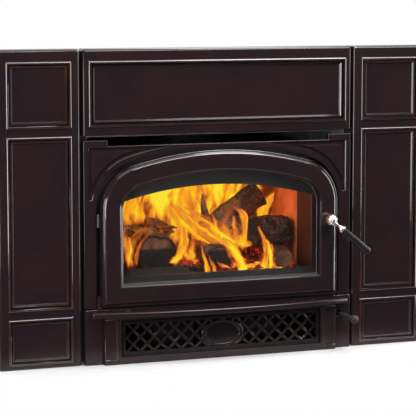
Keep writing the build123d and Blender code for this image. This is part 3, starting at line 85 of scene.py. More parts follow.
def ramp(tree, fac, stops):
    """The colour at fac between stops (place, colour)."""
    r = tree.nodes.new("ShaderNodeValToRGB")
    while len(r.color_ramp.elements) < len(stops):
        r.color_ramp.elements.new(0.5)
    for e, (where, colour) in zip(r.color_ramp.elements, stops):
        e.position = where
        e.color = (*colour, 1.0)
    tree.links.new(fac, r.inputs["Fac"])
    return r.outputs["Color"]


def grey(value):
    return (value, value, value)


def spread(tree, fac, low, high):
    """Noise brought from its usual span, 0.3 to 0.7, to low to high."""
    m = tree.nodes.new("ShaderNodeMapRange")
    m.inputs["From Min"].default_value = 0.3
    m.inputs["From Max"].default_value = 0.7
    m.inputs["To Min"].default_value = low
    m.inputs["To Max"].default_value = high
    tree.links.new(fac, m.inputs["Value"])
    return m.outputs["Result"]


def bump(tree, shader, height, distance):
    """Relief of a distance in metres where height goes from 0 to 1."""
    b = tree.nodes.new("ShaderNodeBump")
    b.inputs["Distance"].default_value = distance
    b.inputs["Strength"].default_value = 1.0
    tree.links.new(height, b.inputs["Height"])
    tree.links.new(b.outputs["Normal"], shader.inputs["Normal"])


def attribute(tree, name):
    a = tree.nodes.new("ShaderNodeAttribute")
    a.attribute_name = name
    return a.outputs["Fac"]


def maths(tree, operation, a, b=None, clamp=False):
    """The result of an operation on one or two values, each of them a number or a socket."""
    m = tree.nodes.new("ShaderNodeMath")
    m.operation = operation
    m.use_clamp = clamp
    for socket, value in zip(m.inputs, (a, b)):
        if value is None:
            continue
        if isinstance(value, (int, float)):
            socket.default_value = value
        else:
            tree.links.new(value, socket)
    return m.outputs[0]


def finish_material(name, stops, scale, rough, grain_scale, grain_depth,
                    metallic=0.0, specular=0.5, coat=0.0):
    """A material with patchy colour, uneven roughness and a fine grain in relief.

    stops are the colours of its patches, rough is its least and most roughness, and grain_depth
    is the relief in metres."""
    wear_scale, coat_roughness = 2.7 * scale, 0.05
    m, tree, shader, place = new_material(name)
    patches = noise_node(tree, place, scale, 4.0, 0.6)
    tree.links.new(ramp(tree, patches, stops), shader.inputs["Base Color"])
    wear = noise_node(tree, place, wear_scale, 5.0, 0.6)
    tree.links.new(spread(tree, wear, *rough), shader.inputs["Roughness"])
    bump(tree, shader, noise_node(tree, place, grain_scale, 3.0, 0.6), grain_depth)
    shader.inputs["Metallic"].default_value = metallic
    shader.inputs["Specular IOR Level"].default_value = specular
    shader.inputs["Coat Weight"].default_value = coat
    shader.inputs["Coat Roughness"].default_value = coat_roughness
    return m


# ------------------------------------------------------------------- finishes

enamel = finish_material(
    "enamel",
    [
        (0.32, (0.018, 0.0105, 0.0150)), (0.5, (0.023, 0.0120, 0.0140)),
        (0.68, (0.029, 0.0135, 0.0135)),
    ],
    9.0, (0.10, 0.17), 160.0, 0.00012,
)
# painted shade: the grille and its plaque take this darker enamel for the shade in their recess
enamel_grille_painted_shade = finish_material(
    "enamel_grille_painted_shade",
    [
        (0.32, (0.006, 0.0038, 0.0045)), (0.5, (0.008, 0.0042, 0.0044)),
        (0.68, (0.012, 0.005, 0.005)),
    ],
    9.0, (0.14, 0.2), 160.0, 0.00012,
)
enamel_edge = finish_material(
    "enamel_edge",
    [(0.3, (0.018, 0.010, 0.011)), (0.5, (0.030, 0.012, 0.011)), (0.7, (0.085, 0.022, 0.012))],
    22.0, (0.10, 0.16), 260.0, 0.00005, specular=1.0, coat=1.0,
)
# painted shade: a darker, duller enamel for the bottoms of the grooves and for the window's ledge
enamel_painted_shade = finish_material(
    "enamel_painted_shade",
    [(0.3, (0.0035, 0.0022, 0.0022)), (0.7, (0.007, 0.0032, 0.003))],
    22.0, (0.3, 0.4), 160.0, 0.00012, specular=0.2,
)
zinc = finish_material(
    "zinc_plate",
    [(0.35, (0.36, 0.36, 0.37)), (0.65, (0.52, 0.52, 0.51))],
    70.0, (0.28, 0.42), 900.0, 0.00005, metallic=1.0,
)
rope = finish_material(
    "glass_fibre_rope",
    [(0.35, (0.34, 0.32, 0.29)), (0.65, (0.62, 0.6, 0.56))],
    120.0, (0.8, 0.95), 620.0, 0.0006,
)
stove_black = finish_material(
    "stove_black",
    [(0.35, (0.014, 0.013, 0.013)), (0.65, (0.03, 0.028, 0.027))],
    30.0, (0.5, 0.7), 700.0, 0.00012,
)
plate_black = finish_material(
    "face_plate_black",
    [(0.35, (0.034, 0.034, 0.037)), (0.65, (0.048, 0.047, 0.051))],
    14.0, (0.42, 0.55), 800.0, 0.0001,
)
sooty_steel = finish_material(
    "sooty_steel",
    [(0.3, (0.018, 0.016, 0.015)), (0.5, (0.05, 0.045, 0.042)), (0.72, (0.13, 0.11, 0.095))],
    16.0, (0.55, 0.8), 500.0, 0.0002,
)


def firebrick(name, tones, shade_to=None):
    """Firebrick in three tones; from the door back to the depth given, it is painted darker as shade."""
    front_shade, shade_share = (0.030, 0.007, 0.005, 1), 0.97
    m, tree, shader, place = new_material(name)
    patch = noise_node(tree, place, 11.0, 7.0, 0.6)
    tone = ramp(tree, patch, list(zip((0.28, 0.45, 0.7), tones)))
    # dark red painted shade from the door back to the given depth
    if shade_to:
        split = tree.nodes.new("ShaderNodeSeparateXYZ")
        tree.links.new(place, split.inputs[0])
        unshaded = tree.nodes.new("ShaderNodeMapRange")
        unshaded.interpolation_type = "SMOOTHSTEP"
        unshaded.inputs["From Min"].default_value = shade_to - 0.002
        unshaded.inputs["From Max"].default_value = shade_to + 0.004
        unshaded.inputs["To Min"].default_value = 1 - shade_share
        tree.links.new(split.outputs["Y"], unshaded.inputs["Value"])
        mix = tree.nodes.new("ShaderNodeMix")
        mix.data_type = "RGBA"
        mix.inputs["A"].default_value = front_shade
        tree.links.new(unshaded.outputs["Result"], mix.inputs["Factor"])
        tree.links.new(tone, mix.inputs["B"])
        tone = mix.outputs["Result"]
    tree.links.new(tone, shader.inputs["Base Color"])
    tree.links.new(spread(tree, patch, 0.8, 0.95), shader.inputs["Roughness"])
    bump(tree, shader, noise_node(tree, place, 330.0, 4.0), 0.0007)
    return m


brick = firebrick("firebrick", ((0.06, 0.042, 0.03), (0.25, 0.17, 0.11), (0.48, 0.35, 0.23)))
# the side bricks get painted shade near the door
side_brick = firebrick(
    "shaded_side_brick", ((0.10, 0.030, 0.015), (0.30, 0.115, 0.055), (0.46, 0.20, 0.10)),
    shade_to=0.068,
)
board = finish_material(
    "fibre_board",
    [(0.35, (0.42, 0.39, 0.34)), (0.65, (0.72, 0.69, 0.62))],
    18.0, (0.85, 0.95), 420.0, 0.0005,
)
wheel_metal = finish_material(
    "wheel_aluminium",
    [(0.35, (0.5, 0.51, 0.52)), (0.65, (0.66, 0.67, 0.68))],
    60.0, (0.25, 0.4), 700.0, 0.00004, metallic=1.0,
)
nickel = finish_material(
    "polished_nickel",
    [(0.3, (0.74, 0.69, 0.61)), (0.7, (0.88, 0.83, 0.76))],
    55.0, (0.2, 0.32), 500.0, 0.00003, metallic=1.0,
)
phenolic = finish_material(
    "black_phenolic",
    [(0.35, (0.008, 0.008, 0.009)), (0.65, (0.02, 0.02, 0.021))],
    60.0, (0.2, 0.32), 520.0, 0.00006,
)


def galvanised_sheet():
    """Zinc with its crystals, each of them in its own grey, and faint stains."""
    m, tree, shader, place = new_material("galvanised_sheet")
    cells = tree.nodes.new("ShaderNodeTexVoronoi")
    cells.inputs["Scale"].default_value = 55.0
    tree.links.new(place, cells.inputs["Vector"])
    tone = tree.nodes.new("ShaderNodeSeparateColor")
    tree.links.new(cells.outputs["Color"], tone.inputs["Color"])
    base = ramp(tree, tone.outputs["Red"], [
        (0.0, (0.27, 0.285, 0.295)), (1.0, (0.42, 0.435, 0.445)),
    ])
    stain = noise_node(tree, place, 6.0, 5.0, 0.6)
    mix = tree.nodes.new("ShaderNodeMix")
    mix.data_type = "RGBA"
    mix.blend_type = "MULTIPLY"
    mix.inputs["Factor"].default_value = 1.0
    tree.links.new(base, mix.inputs["A"])
    tree.links.new(ramp(tree, stain, [(0.3, grey(0.72)), (0.7, grey(1.0))]), mix.inputs["B"])
    tree.links.new(mix.outputs["Result"], shader.inputs["Base Color"])
    tree.links.new(spread(tree, tone.outputs["Green"], 0.5, 0.64), shader.inputs["Roughness"])
    bump(tree, shader, noise_node(tree, place, 240.0), 0.00006)
    shader.inputs["Metallic"].default_value = 0.3
    shader.inputs["Specular IOR Level"].default_value = 0.3
    return m


galvanised = galvanised_sheet()


def glass_material():
    """Clear glass; it bends light little, so that the fire stays in its place in the picture."""
    m, tree, shader, place = new_material("ceramic_glass")
    haze = noise_node(tree, place, 14.0, 4.0)
    tree.links.new(
        ramp(tree, haze, [(0.3, (0.93, 0.9, 0.86)), (0.7, (1.0, 0.99, 0.97))]),
        shader.inputs["Base Color"],
    )
    tree.links.new(spread(tree, haze, 0.0, 0.02), shader.inputs["Roughness"])
    shader.inputs["Transmission Weight"].default_value = 1.0
    shader.inputs["IOR"].default_value = 1.2
    return m


glass = glass_material()

finishes = {
    "enamel": enamel, "steel_hardware": zinc, "glass": glass, "rope": rope,
    "nickel": nickel, "black_grip": phenolic, "black_steel": stove_black,
    "firebox_steel": sooty_steel, "firebrick": brick, "fibre_board": board,
    "galvanised": galvanised, "wheel_aluminium": wheel_metal,
    "embers": stove_black, "charred_wood": stove_black,
}
slot_of = {s["node"]: s["material_slot"] for s in frame["record"]["subparts"]}
for name, obj in nodes.items():
    obj.data.materials.clear()
    obj.data.materials.append(finishes[slot_of[name]])
nodes["face_plate"].data.materials[0] = plate_black
# painted shade: the blower's parts and the hinge pins take stove black for the dark behind the grille and in the
# hinge gap
for name in ("blower_motor", "blower_scrolls", "blower_bracket", "hinge_pins"):
    nodes[name].data.materials[0] = stove_black
for side in ("left_bricks", "right_bricks"):
    nodes[side].data.materials[0] = side_brick


# ------------------------------------------------------------- enamelled iron

hinge = next(j for j in frame["joints"] if j["name"] == "door_hinge")["pos_m"]
bolt_points = [v.co for v in nodes["ash_lip_bolts"].data.vertices]
bolt_x = (min(p.x for p in bolt_points), max(p.x for p in bolt_points))
bolt_y = sum(p.y for p in bolt_points) / len(bolt_points)
upright_holes = [(hinge[0], hinge[1]), (bolt_x[0], bolt_y), (bolt_x[1], bolt_y)]
hole_margin = 0.0125  # edges nearer than this to a hole's axis stay sharp
sharp_angle = math.radians(24)  # edges with less of an angle are part of a curve
no_limit = 1.0  # a plane behind the whole object
edge_slot, painted_shade_slot = 1, 2  # of the materials of an enamelled casting: its glossy rounded edges, and the painted shade of grooves and of the window's ledge

groove_y, groove_tolerance = -0.044, 0.0003  # the bottom of the grooves round the panels, which gets painted shade
ledge_y = (-0.0597, -0.0572)  # the window's ledge, behind the slope of its edge, which gets painted shade
ledge_width, ledge_top = 0.015, 0.4  # it is as wide as this, and as high at the right
glass_x = max(v.co.x for v in nodes["door_glass"].data.vertices)
glass_z = min(v.co.z for v in nodes["door_glass"].data.vertices)


def edge_is_rounded(edge, back):
    """Convex edges are rounded, but not behind the plane back nor at the upright holes."""
    if not (edge.is_manifold and edge.is_convex and edge.calc_face_angle() > sharp_angle):
        return False
    if min(v.co.y for v in edge.verts) > back:
        return False
    return all(
        math.hypot(v.co.x - x, v.co.y - y) > hole_margin
        for v in edge.verts for x, y in upright_holes
    )


def clean_copy(node, name, back=no_limit):
    """A copy of a CAD node's mesh with its flat faces joined, for rounding its edges."""
    weld, flat = 2e-6, math.radians(0.6)
    bm = bmesh.new()
    bm.from_mesh(nodes[node].data)
    bmesh.ops.remove_doubles(bm, verts=bm.verts, dist=weld)
    bmesh.ops.dissolve_limit(
        bm, angle_limit=flat, verts=bm.verts, edges=bm.edges, use_dissolve_boundaries=False
    )
    weight = bm.edges.layers.float.new("bevel_weight_edge")
    for e in bm.edges:
        e[weight] = float(edge_is_rounded(e, back))
    mesh = bpy.data.meshes.new(name)
    bm.to_mesh(mesh)
    bm.free()
    for a in ("custom_normal", "UVMap"):
        if a in mesh.attributes:
            mesh.attributes.remove(mesh.attributes[a])
    obj = bpy.data.objects.new(name, mesh)
    scene.collection.objects.link(obj)
    return obj


def smooth(mesh, angle=32.0):
    """Smooth shading, but not over edges of more than the angle in degrees."""
    mesh.polygons.foreach_set("use_smooth", [True] * len(mesh.polygons))
    mesh.set_sharp_from_angle(angle=math.radians(angle))


def in_groove(face):
    """Whether a face of the surround is the bottom of a groove, which gets painted shade."""
    return face.normal.y < -0.99 and abs(face.center.y - groove_y) < groove_tolerance


def on_window_ledge(face):
    """Whether a face of the door is the ledge below the glass or at its right, which gets painted shade."""
    x, y, z = face.center
    beside = z < glass_z + ledge_width or (x > glass_x - ledge_width and z < ledge_top)
    return beside and ledge_y[0] < y < ledge_y[1] and x < glass_x and z > glass_z


def enamelled(node, body, width, segments=2, gets_painted_shade=None, back=no_limit):
    """The casting with rounded, glossy edges; the faces that the given test picks get painted shade, a darker and
    duller enamel.
    """
    obj = clean_copy(node, node + "_enamel", back=back)
    for m in (enamel, enamel_edge, enamel_painted_shade):
        obj.data.materials.append(m)
    for face in obj.data.polygons:
        if gets_painted_shade and gets_painted_shade(face):
            face.material_index = painted_shade_slot
    smooth(obj.data)
    b = obj.modifiers.new("rounded_edges", "BEVEL")
    b.width = width
    b.segments = segments
    b.limit_method = "WEIGHT"
    b.use_clamp_overlap = False
    b.harden_normals = True
    b.material = edge_slot
    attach(obj, body)
    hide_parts(node)


for node in ("left_column", "right_column", "lintel"):
    enamelled(node, "insert", 0.0021, 3, in_groove, back=-0.03)
for node, width, back in (
    ("front_casting", 0.0016, -0.0451), ("lower_casting", 0.001, -0.04),
    ("ash_lip", 0.001, no_limit), ("lower_grille", 0.0012, -0.0531),
    ("grille_plaque", 0.0007, no_limit),
):
    enamelled(node, "insert", width, back=back)
# the grille and its plaque get the darker enamel as painted shade
for node in ("lower_grille", "grille_plaque"):
    bpy.data.objects[node + "_enamel"].data.materials[0] = enamel_grille_painted_shade
enamelled("door_frame", "door", 0.0016, gets_painted_shade=on_window_ledge, back=-0.0451)

pane = clean_copy("door_glass", "door_glass_pane")
pane.data.materials.append(glass)
pane.data.polygons.foreach_set("use_smooth", [False] * len(pane.data.polygons))
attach(pane, "door")
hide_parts("door_glass")


# ------------------------------------------------- logs, embers and the flames

camera_at = Vector(camera_place)
camera_turn = Matrix.Rotation(camera_pan, 3, "Z") @ Matrix.Rotation(camera_tilt, 3, "X")


def at(px, py, depth):
    """The point on the plane Y = depth (mm) that the picture shows at pixel (px, py)."""
    f = lens / sensor * picture_px
    middle = picture_px / 2
    ray = camera_turn @ Vector(((px - middle) / f, (middle - py) / f, -1.0))
    return camera_at + ray * ((depth / mm - camera_at.y) / ray.y)


def mesh_object(name, verts, faces, body="insert"):
    """A new mesh in the scene, which rides on the body."""
    mesh = bpy.data.meshes.new(name)
    mesh.from_pydata([tuple(v) for v in verts], [], faces)
    mesh.update()
    obj = bpy.data.objects.new(name, mesh)
    scene.collection.objects.link(obj)
    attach(obj, body)
    return obj


def point_values(mesh, name, values):
    """Gives each point of the mesh its value, for a material to read."""
    a = mesh.attributes.new(name, "FLOAT", "POINT")
    a.data.foreach_set("value", [float(v) for v in values])


def fbm(x, y, z, octaves=4):
    """Noise round 0 with finer and finer noise on it."""
    total, size = 0.0, 1.0
    for _ in range(octaves):
        total += size * noise.noise(Vector((x, y, z)))
        x, y, z, size = x * 2.03, y * 2.03, z * 2.03, size * 0.5
    return total


def charred_bark():
    """Bark from brown to char, cracked in cells, which may glow in the cracks."""
    m, tree, shader, place = new_material("charred_bark")
    char = attribute(tree, "char")
    patch = noise_node(tree, place, 26.0, 6.0, 0.65)
    unburnt = maths(tree, "SUBTRACT", 1.0, char)
    colour = ramp(tree, maths(tree, "ADD", unburnt, maths(tree, "SUBTRACT", patch, 0.5)), [
        (0.0, (0.020, 0.018, 0.022)), (0.3, (0.080, 0.066, 0.072)),
        (0.6, (0.14, 0.082, 0.060)), (0.95, (0.28, 0.15, 0.085)),
    ])
    tree.links.new(colour, shader.inputs["Base Color"])
    cells = tree.nodes.new("ShaderNodeTexVoronoi")
    cells.feature = "DISTANCE_TO_EDGE"
    cells.inputs["Scale"].default_value = 62.0
    cells.inputs["Randomness"].default_value = 0.85
    tree.links.new(place, cells.inputs["Vector"])
    cracks = ramp(tree, cells.outputs["Distance"], [(0.0, grey(1.0)), (0.16, grey(0.0))])
    glow = attribute(tree, "glow")
    heat = maths(tree, "MULTIPLY", cracks, glow, clamp=True)
    fire = ramp(tree, heat, [
        (0.05, (0.0, 0.0, 0.0)), (0.35, (0.16, 0.006, 0.002)),
        (0.7, (0.6, 0.04, 0.005)), (1.0, (1.0, 0.26, 0.02)),
    ])
    tree.links.new(fire, shader.inputs["Emission Color"])
    shader.inputs["Emission Strength"].default_value = 1.3
    tree.links.new(spread(tree, patch, 0.6, 0.9), shader.inputs["Roughness"])
    deep = ramp(tree, cells.outputs["Distance"], [(0.0, grey(0.0)), (0.25, grey(1.0))])
    rough = noise_node(tree, place, 190.0, 5.0, 0.7)
    bump(tree, shader, maths(tree, "ADD", deep, maths(tree, "MULTIPLY", rough, 0.5)), 0.0032)
    return m


def cut_wood():
    """A log's cut end, with faint year rings."""
    m, tree, shader, place = new_material("cut_wood_end")
    char = attribute(tree, "char")
    rings = maths(tree, "MULTIPLY", attribute(tree, "ring"), 60.0)
    fine = noise_node(tree, place, 90.0, 5.0, 0.6)
    wave = maths(tree, "SINE", maths(tree, "ADD", rings, maths(tree, "MULTIPLY", fine, 5.0)))
    unburnt = maths(tree, "SUBTRACT", 1.0, char)
    tone = maths(tree, "ADD", maths(tree, "MULTIPLY", wave, 0.025), unburnt)
    grain = maths(tree, "MULTIPLY", maths(tree, "SUBTRACT", fine, 0.5), 0.5)
    tone = maths(tree, "ADD", tone, grain)
    colour = ramp(tree, tone, [
        (0.0, (0.012, 0.010, 0.010)), (0.35, (0.035, 0.020, 0.016)),
        (0.7, (0.18, 0.075, 0.040)), (1.0, (0.36, 0.17, 0.10)),
    ])
    tree.links.new(colour, shader.inputs["Base Color"])
    tree.links.new(spread(tree, fine, 0.7, 0.95), shader.inputs["Roughness"])
    bump(tree, shader, tone, 0.001)
    return m


bark, cut = charred_bark(), cut_wood()


def section(width, height, rounding):
    """The log's section, as in the solid: uneven, flat below and above."""
    parts = 7  # points to a side
    corners = [
        (-0.3, -0.5), (0.28, -0.5), (0.46, -0.24), (0.5, 0.1), (0.38, 0.36),
        (0.2, 0.5), (-0.24, 0.5), (-0.42, 0.3), (-0.5, -0.06), (-0.44, -0.3),
    ]
    n, out = len(corners), []
    for i in range(n):
        p = [Vector(corners[(i + k) % n]) for k in (-1, 0, 1, 2)]
        for j in range(parts):
            t = j / parts
            a = p[1] + (p[2] - p[1]) * t
            curve = (
                p[1] * 2 + (p[2] - p[0]) * t + (p[0] * 2 - p[1] * 5 + p[2] * 4 - p[3]) * t * t
                + (p[1] * 3 - p[0] - p[2] * 3 + p[3]) * t ** 3
            ) * 0.5
            v = a.lerp(curve, rounding)
            out.append((v.x * width, v.y * height))
    return out


log_step = 3.5  # mm between the rings of points along a log
end_shrink, end_reach = 0.05, 5  # a log is 5% smaller at its ends, starting 5 mm before them
sway_depth, bark_inset = 4.5, 1.5  # mm
cap_scales = (0.86, 0.68, 0.5, 0.32, 0.15)  # sizes of the rings of points on a cut end
chip_depth = 0.0016
bark_slot, cut_slot = 0, 1  # of the materials of a log


def end_char(p, seed, char_top):
    """How charred a cut end is at p: it is char up to the height char_top (mm), and then wood."""
    char = 0.0 if char_top is None else 1 - max(0.0, min(1.0, (p.z * mm - char_top) / 6))
    if char >= 0.5:
        return 0.95
    return max(char, 0.25 + 0.5 * fbm(p.x * 30, p.y * 30, p.z * 30 + seed, 3))


def add_log(name, node, start, along, across, width, height, length, seed,
            char=0.8, glow=0.0, taper=0.0, ragged=2.5, char_top=None, rounding=0.75):
    """A split log with rough bark and cut ends, in mm, in the place of the solid's log."""
    along, across = Vector(along).normalized(), Vector(across).normalized()
    up = across.cross(along) if across.cross(along).z >= 0 else along.cross(across)
    ring = section(width, height, rounding)
    steps = max(6, int(length / log_step))
    verts, faces, chars, glows, year_rings, mats = [], [], [], [], [], []
    centre = Vector(start)
    for i in range(steps + 1):
        t = i / steps
        size = 1 - taper * t - end_shrink * max(0.0, 1 - min(t, 1 - t) * length / end_reach)
        for x, y in ring:
            p = Vector((x, y)) * size
            sway = fbm(x / 38 + seed, y / 38, t * length / 60, 3)
            ridge = fbm(x / 7 + seed * 3, y / 7, t * length / 34 + 5, 3)
            r = p.length or 1.0
            p *= 1 + (sway * sway_depth + ridge * ragged - bark_inset) / r
            w = centre + along * (t * length) + across * p.x + up * p.y
            verts.append(w / mm)
            chars.append(char + 0.5 * fbm(w.x / 45 + seed, w.y / 45, w.z / 45, 3))
            g = glow * (1.2 + 2.2 * fbm(w.x / 30, w.y / 30 + seed, w.z / 30, 2))
            glows.append(max(0.0, g * (0.75 - p.y / height)))
            year_rings.append(r / 100)
    n = len(ring)
    for i in range(steps):
        for j in range(n):
            k = (j + 1) % n
            faces.append((i * n + j, i * n + k, (i + 1) * n + k, (i + 1) * n + j))
            mats.append(bark_slot)
    for end, first in ((0, 0), (1, steps * n)):
        last = [first + j for j in range(n)]
        for scale in cap_scales:
            mid = sum((verts[v] for v in range(first, first + n)), Vector()) / n
            fresh = []
            for j in range(n):
                rim = verts[first + j]
                w = mid.lerp(rim, scale)
                chip = fbm(w.x * 45 + seed, w.y * 45, w.z * 45, 3) * chip_depth
                w = w + along * (chip if end else -chip)
                fresh.append(len(verts))
                verts.append(w)
                chars.append(end_char(w, seed, char_top))
                glows.append(0.0)
                year_rings.append(scale * (rim - mid).length * 10)
            for j in range(n):
                k = (j + 1) % n
                quad = (last[j], last[k], fresh[k], fresh[j])
                faces.append(quad if end else quad[::-1])
                mats.append(cut_slot)
            last = fresh
        faces.append(tuple(last) if end else tuple(last[::-1]))
        mats.append(cut_slot)
    obj = mesh_object(name, verts, faces)
    obj.data.materials.append(bark)
    obj.data.materials.append(cut)
    obj.data.polygons.foreach_set("material_index", mats)
    smooth(obj.data, 40)
    point_values(obj.data, "char", chars)
    point_values(obj.data, "glow", glows)
    point_values(obj.data, "ring", year_rings)
    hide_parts(node)


add_log("log_left", "front_logs", (-140, 20, 250), (0, 1, 0), (1, 0, 0), 106, 88, 205, 1.0,
        char=0.95, glow=0.05, char_top=259)
add_log("log_middle", "front_logs", (16, 8, 236), (0, 1, 0), (1, 0, 0), 80, 54, 56, 2.0,
        char=0.75, glow=0.1, char_top=250)
add_log("log_right", "front_logs", (184, -5, 228), (0, 1, 0), (1, 0, 0), 46, 46, 56, 3.0,
        char=0.6, glow=0.1, char_top=190)
add_log("log_rear", "rear_logs", (-235, 280, 247), (1, 0, 0), (0, 1, 0), 84, 84, 195, 4.0,
        char=0.7, glow=0.6)
ridge_from, ridge_to = at(143, 228, 262) * mm, at(178, 226, 262) * mm
add_log("log_ridge", "rear_logs", ridge_from, ridge_to - ridge_from, (0, 1, 0), 60, 62,
        (ridge_to - ridge_from).length, 12.0, char=0.55, glow=0.25, taper=0.15, ragged=4.5)
for x, seed in ((40, 5.0), (200, 6.0)):
    add_log(f"log_base_{x}", "rear_logs", (x, 75, 225), (0, 1, 0), (1, 0, 0), 46, 40, 185, seed,
            char=0.9, glow=0.4)
add_log("log_top", "top_logs", (14, 110, 283), (1, 0, 0), (0, 1, 0), 80, 76, 222, 7.0,
        char=0.95, glow=0.06, ragged=2.2, rounding=0.1)
# the leaning log lies against the back of the top log, and reaches down to its own foot
top_y, top_width, lean_width, clearance = 110, 80, 56, 0.3
slope, lean_foot, lean_rise = math.radians(32), 250, 121
lean_y = top_y + (top_width + lean_width) / 2 + clearance
lean_length = (lean_rise - lean_width / 2 * math.cos(slope)) / math.sin(slope)
add_log("log_leaning", "top_logs", (190, lean_y, lean_foot + lean_rise),
        (-math.cos(slope), 0, -math.sin(slope)), (0, 1, 0), 58, 66, lean_length, 8.0,
        char=0.95, taper=0.25, ragged=2.8, rounding=0.2)
splinter = at(205.5, 217.5, 120) * mm
add_log("log_splinter", "top_logs", splinter, (-0.10, 0.1, 1), (1, 0, 0), 25, 14, 60, 9.0,
        char=0.85, taper=0.72, ragged=2.2)


ember_top, bed_bottom = 205.0, 160
bed_left, bed_right, bed_front, bed_back = -240, 240, -14, 325
mound_left, mound_right, mound_back, mound_height = -232, -58, 20, 20
# heat, then the middle and the reach in X, then in Y: hottest in the middle of the fire, and
# grey ash at the left in front
hot_places = ((1.0, 105, 75, 40, 120), (0.8, -20, 120, 150, 90), (0.5, 200, 50, 60, 100))
coal_count, coal_size = 620, (5.0, 13.0)
crumb_size, crumbs_right, crumbs_back = (2.0, 5.0), -60, 25  # the coals are small at the left
box_faces = ((0, 1, 3, 2), (4, 6, 7, 5), (0, 4, 5, 1), (2, 3, 7, 6), (0, 2, 6, 4), (1, 5, 7, 3))


def ember_material():
    """Grey ash, which glows where the points are hot."""
    m, tree, shader, place = new_material("glowing_embers")
    glow = attribute(tree, "glow")
    patch = noise_node(tree, place, 75.0, 5.0, 0.7)
    ash = ramp(tree, patch, [
        (0.35, (0.016, 0.014, 0.014)), (0.6, (0.04, 0.036, 0.036)), (0.8, (0.11, 0.10, 0.095)),
    ])
    tree.links.new(ash, shader.inputs["Base Color"])
    heat = maths(tree, "MULTIPLY", glow, maths(tree, "MULTIPLY", patch, 2.0), clamp=True)
    fire = ramp(tree, heat, [
        (0.1, (0.0, 0.0, 0.0)), (0.4, (0.09, 0.003, 0.002)), (0.72, (0.36, 0.014, 0.004)),
        (0.92, (0.9, 0.10, 0.01)), (1.0, (1.0, 0.38, 0.03)),
    ])
    tree.links.new(fire, shader.inputs["Emission Color"])
    shader.inputs["Emission Strength"].default_value = 1.0
    tree.links.new(spread(tree, patch, 0.75, 0.95), shader.inputs["Roughness"])
    bump(tree, shader, noise_node(tree, place, 260.0, 4.0, 0.7), 0.0012)
    return m


def bed_height(x, y):
    """The bed's top, with a mound of ash before the left log."""
    mound = 0.0
    if mound_left < x < mound_right and y < mound_back:
        mound = mound_height * min(1.0, (x - mound_left) / 12, (mound_right - x) / 20)
        mound *= max(0.0, 1 - abs(y - 4) / 16)
    return ember_top - 3 + mound + 3.0 * fbm(x / 26, y / 26, 0.7, 4)


def ember_glow(x, y):
    """How hot the bed is."""
    return sum(
        heat * math.exp(-((x - x0) / reach_x) ** 2 - ((y - y0) / reach_y) ** 2)
        for heat, x0, reach_x, y0, reach_y in hot_places
    )


def ember_bed():
    """A closed bed with an uneven top, and loose coals on it."""
    verts, faces, glows = [], [], []
    nx, ny = 97, 69
    for j in range(ny):
        for i in range(nx):
            x = bed_left + (bed_right - bed_left) * i / (nx - 1)
            y = bed_front + (bed_back - bed_front) * j / (ny - 1)
            edge = min(x - bed_left, bed_right - x, y - bed_front, bed_back - y)
            z = bed_height(x, y) - 4 * max(0.0, 1 - edge / 8)
            verts.append(Vector((x, y, z)) / mm)
            glows.append(0.55 * ember_glow(x, y) * (0.6 + fbm(x / 20, y / 20, 3.0, 3)))
    for j in range(ny - 1):
        for i in range(nx - 1):
            a = j * nx + i
            faces.append((a, a + 1, a + nx + 1, a + nx))
    skirt = list(range(nx)) + [j * nx + nx - 1 for j in range(1, ny)]
    skirt += [(ny - 1) * nx + i for i in range(nx - 2, -1, -1)]
    skirt += [j * nx for j in range(ny - 2, 0, -1)]
    first = len(verts)
    for v in skirt:
        verts.append(Vector((verts[v].x, verts[v].y, bed_bottom / mm)))
        glows.append(0.0)
    n = len(skirt)
    for i in range(n):
        k = (i + 1) % n
        faces.append((skirt[k], skirt[i], first + i, first + k))
    faces.append(tuple(first + n - 1 - i for i in range(n)))
    rng = random.Random(11)
    for _ in range(coal_count):
        x, y = rng.uniform(-228, 228), rng.uniform(-4, 315)
        is_crumb = x < crumbs_right and y < crumbs_back
        size = rng.uniform(*(crumb_size if is_crumb else coal_size))
        z = bed_height(x, y) + size * 0.35
        angle = rng.uniform(0, 6.28)
        axis = Vector((rng.random(), rng.random(), rng.random() + 0.1)).normalized()
        spin = Matrix.Rotation(angle, 3, axis)
        shape = [
            Vector((
                sx * rng.uniform(0.6, 1.25), sy * rng.uniform(0.5, 1.0), sz * rng.uniform(0.4, 0.8)
            ))
            for sx in (-1, 1) for sy in (-1, 1) for sz in (-1, 1)
        ]
        base = len(verts)
        hot = ember_glow(x, y) * rng.uniform(0.25, 1.5)
        for p in shape:
            w = Vector((x, y, z)) + spin @ p * size * 0.7
            w.z = max(w.z, bed_bottom + 1)
            verts.append(w / mm)
            glows.append(max(0.0, hot * rng.uniform(0.6, 1.3)))
        for f in box_faces:
            faces.append(tuple(base + v for v in f))
    obj = mesh_object("ember_coals", verts, faces)
    obj.data.materials.append(ember_material())
    smooth(obj.data, 35)
    point_values(obj.data, "glow", glows)
    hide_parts("ember_bed")


ember_bed()


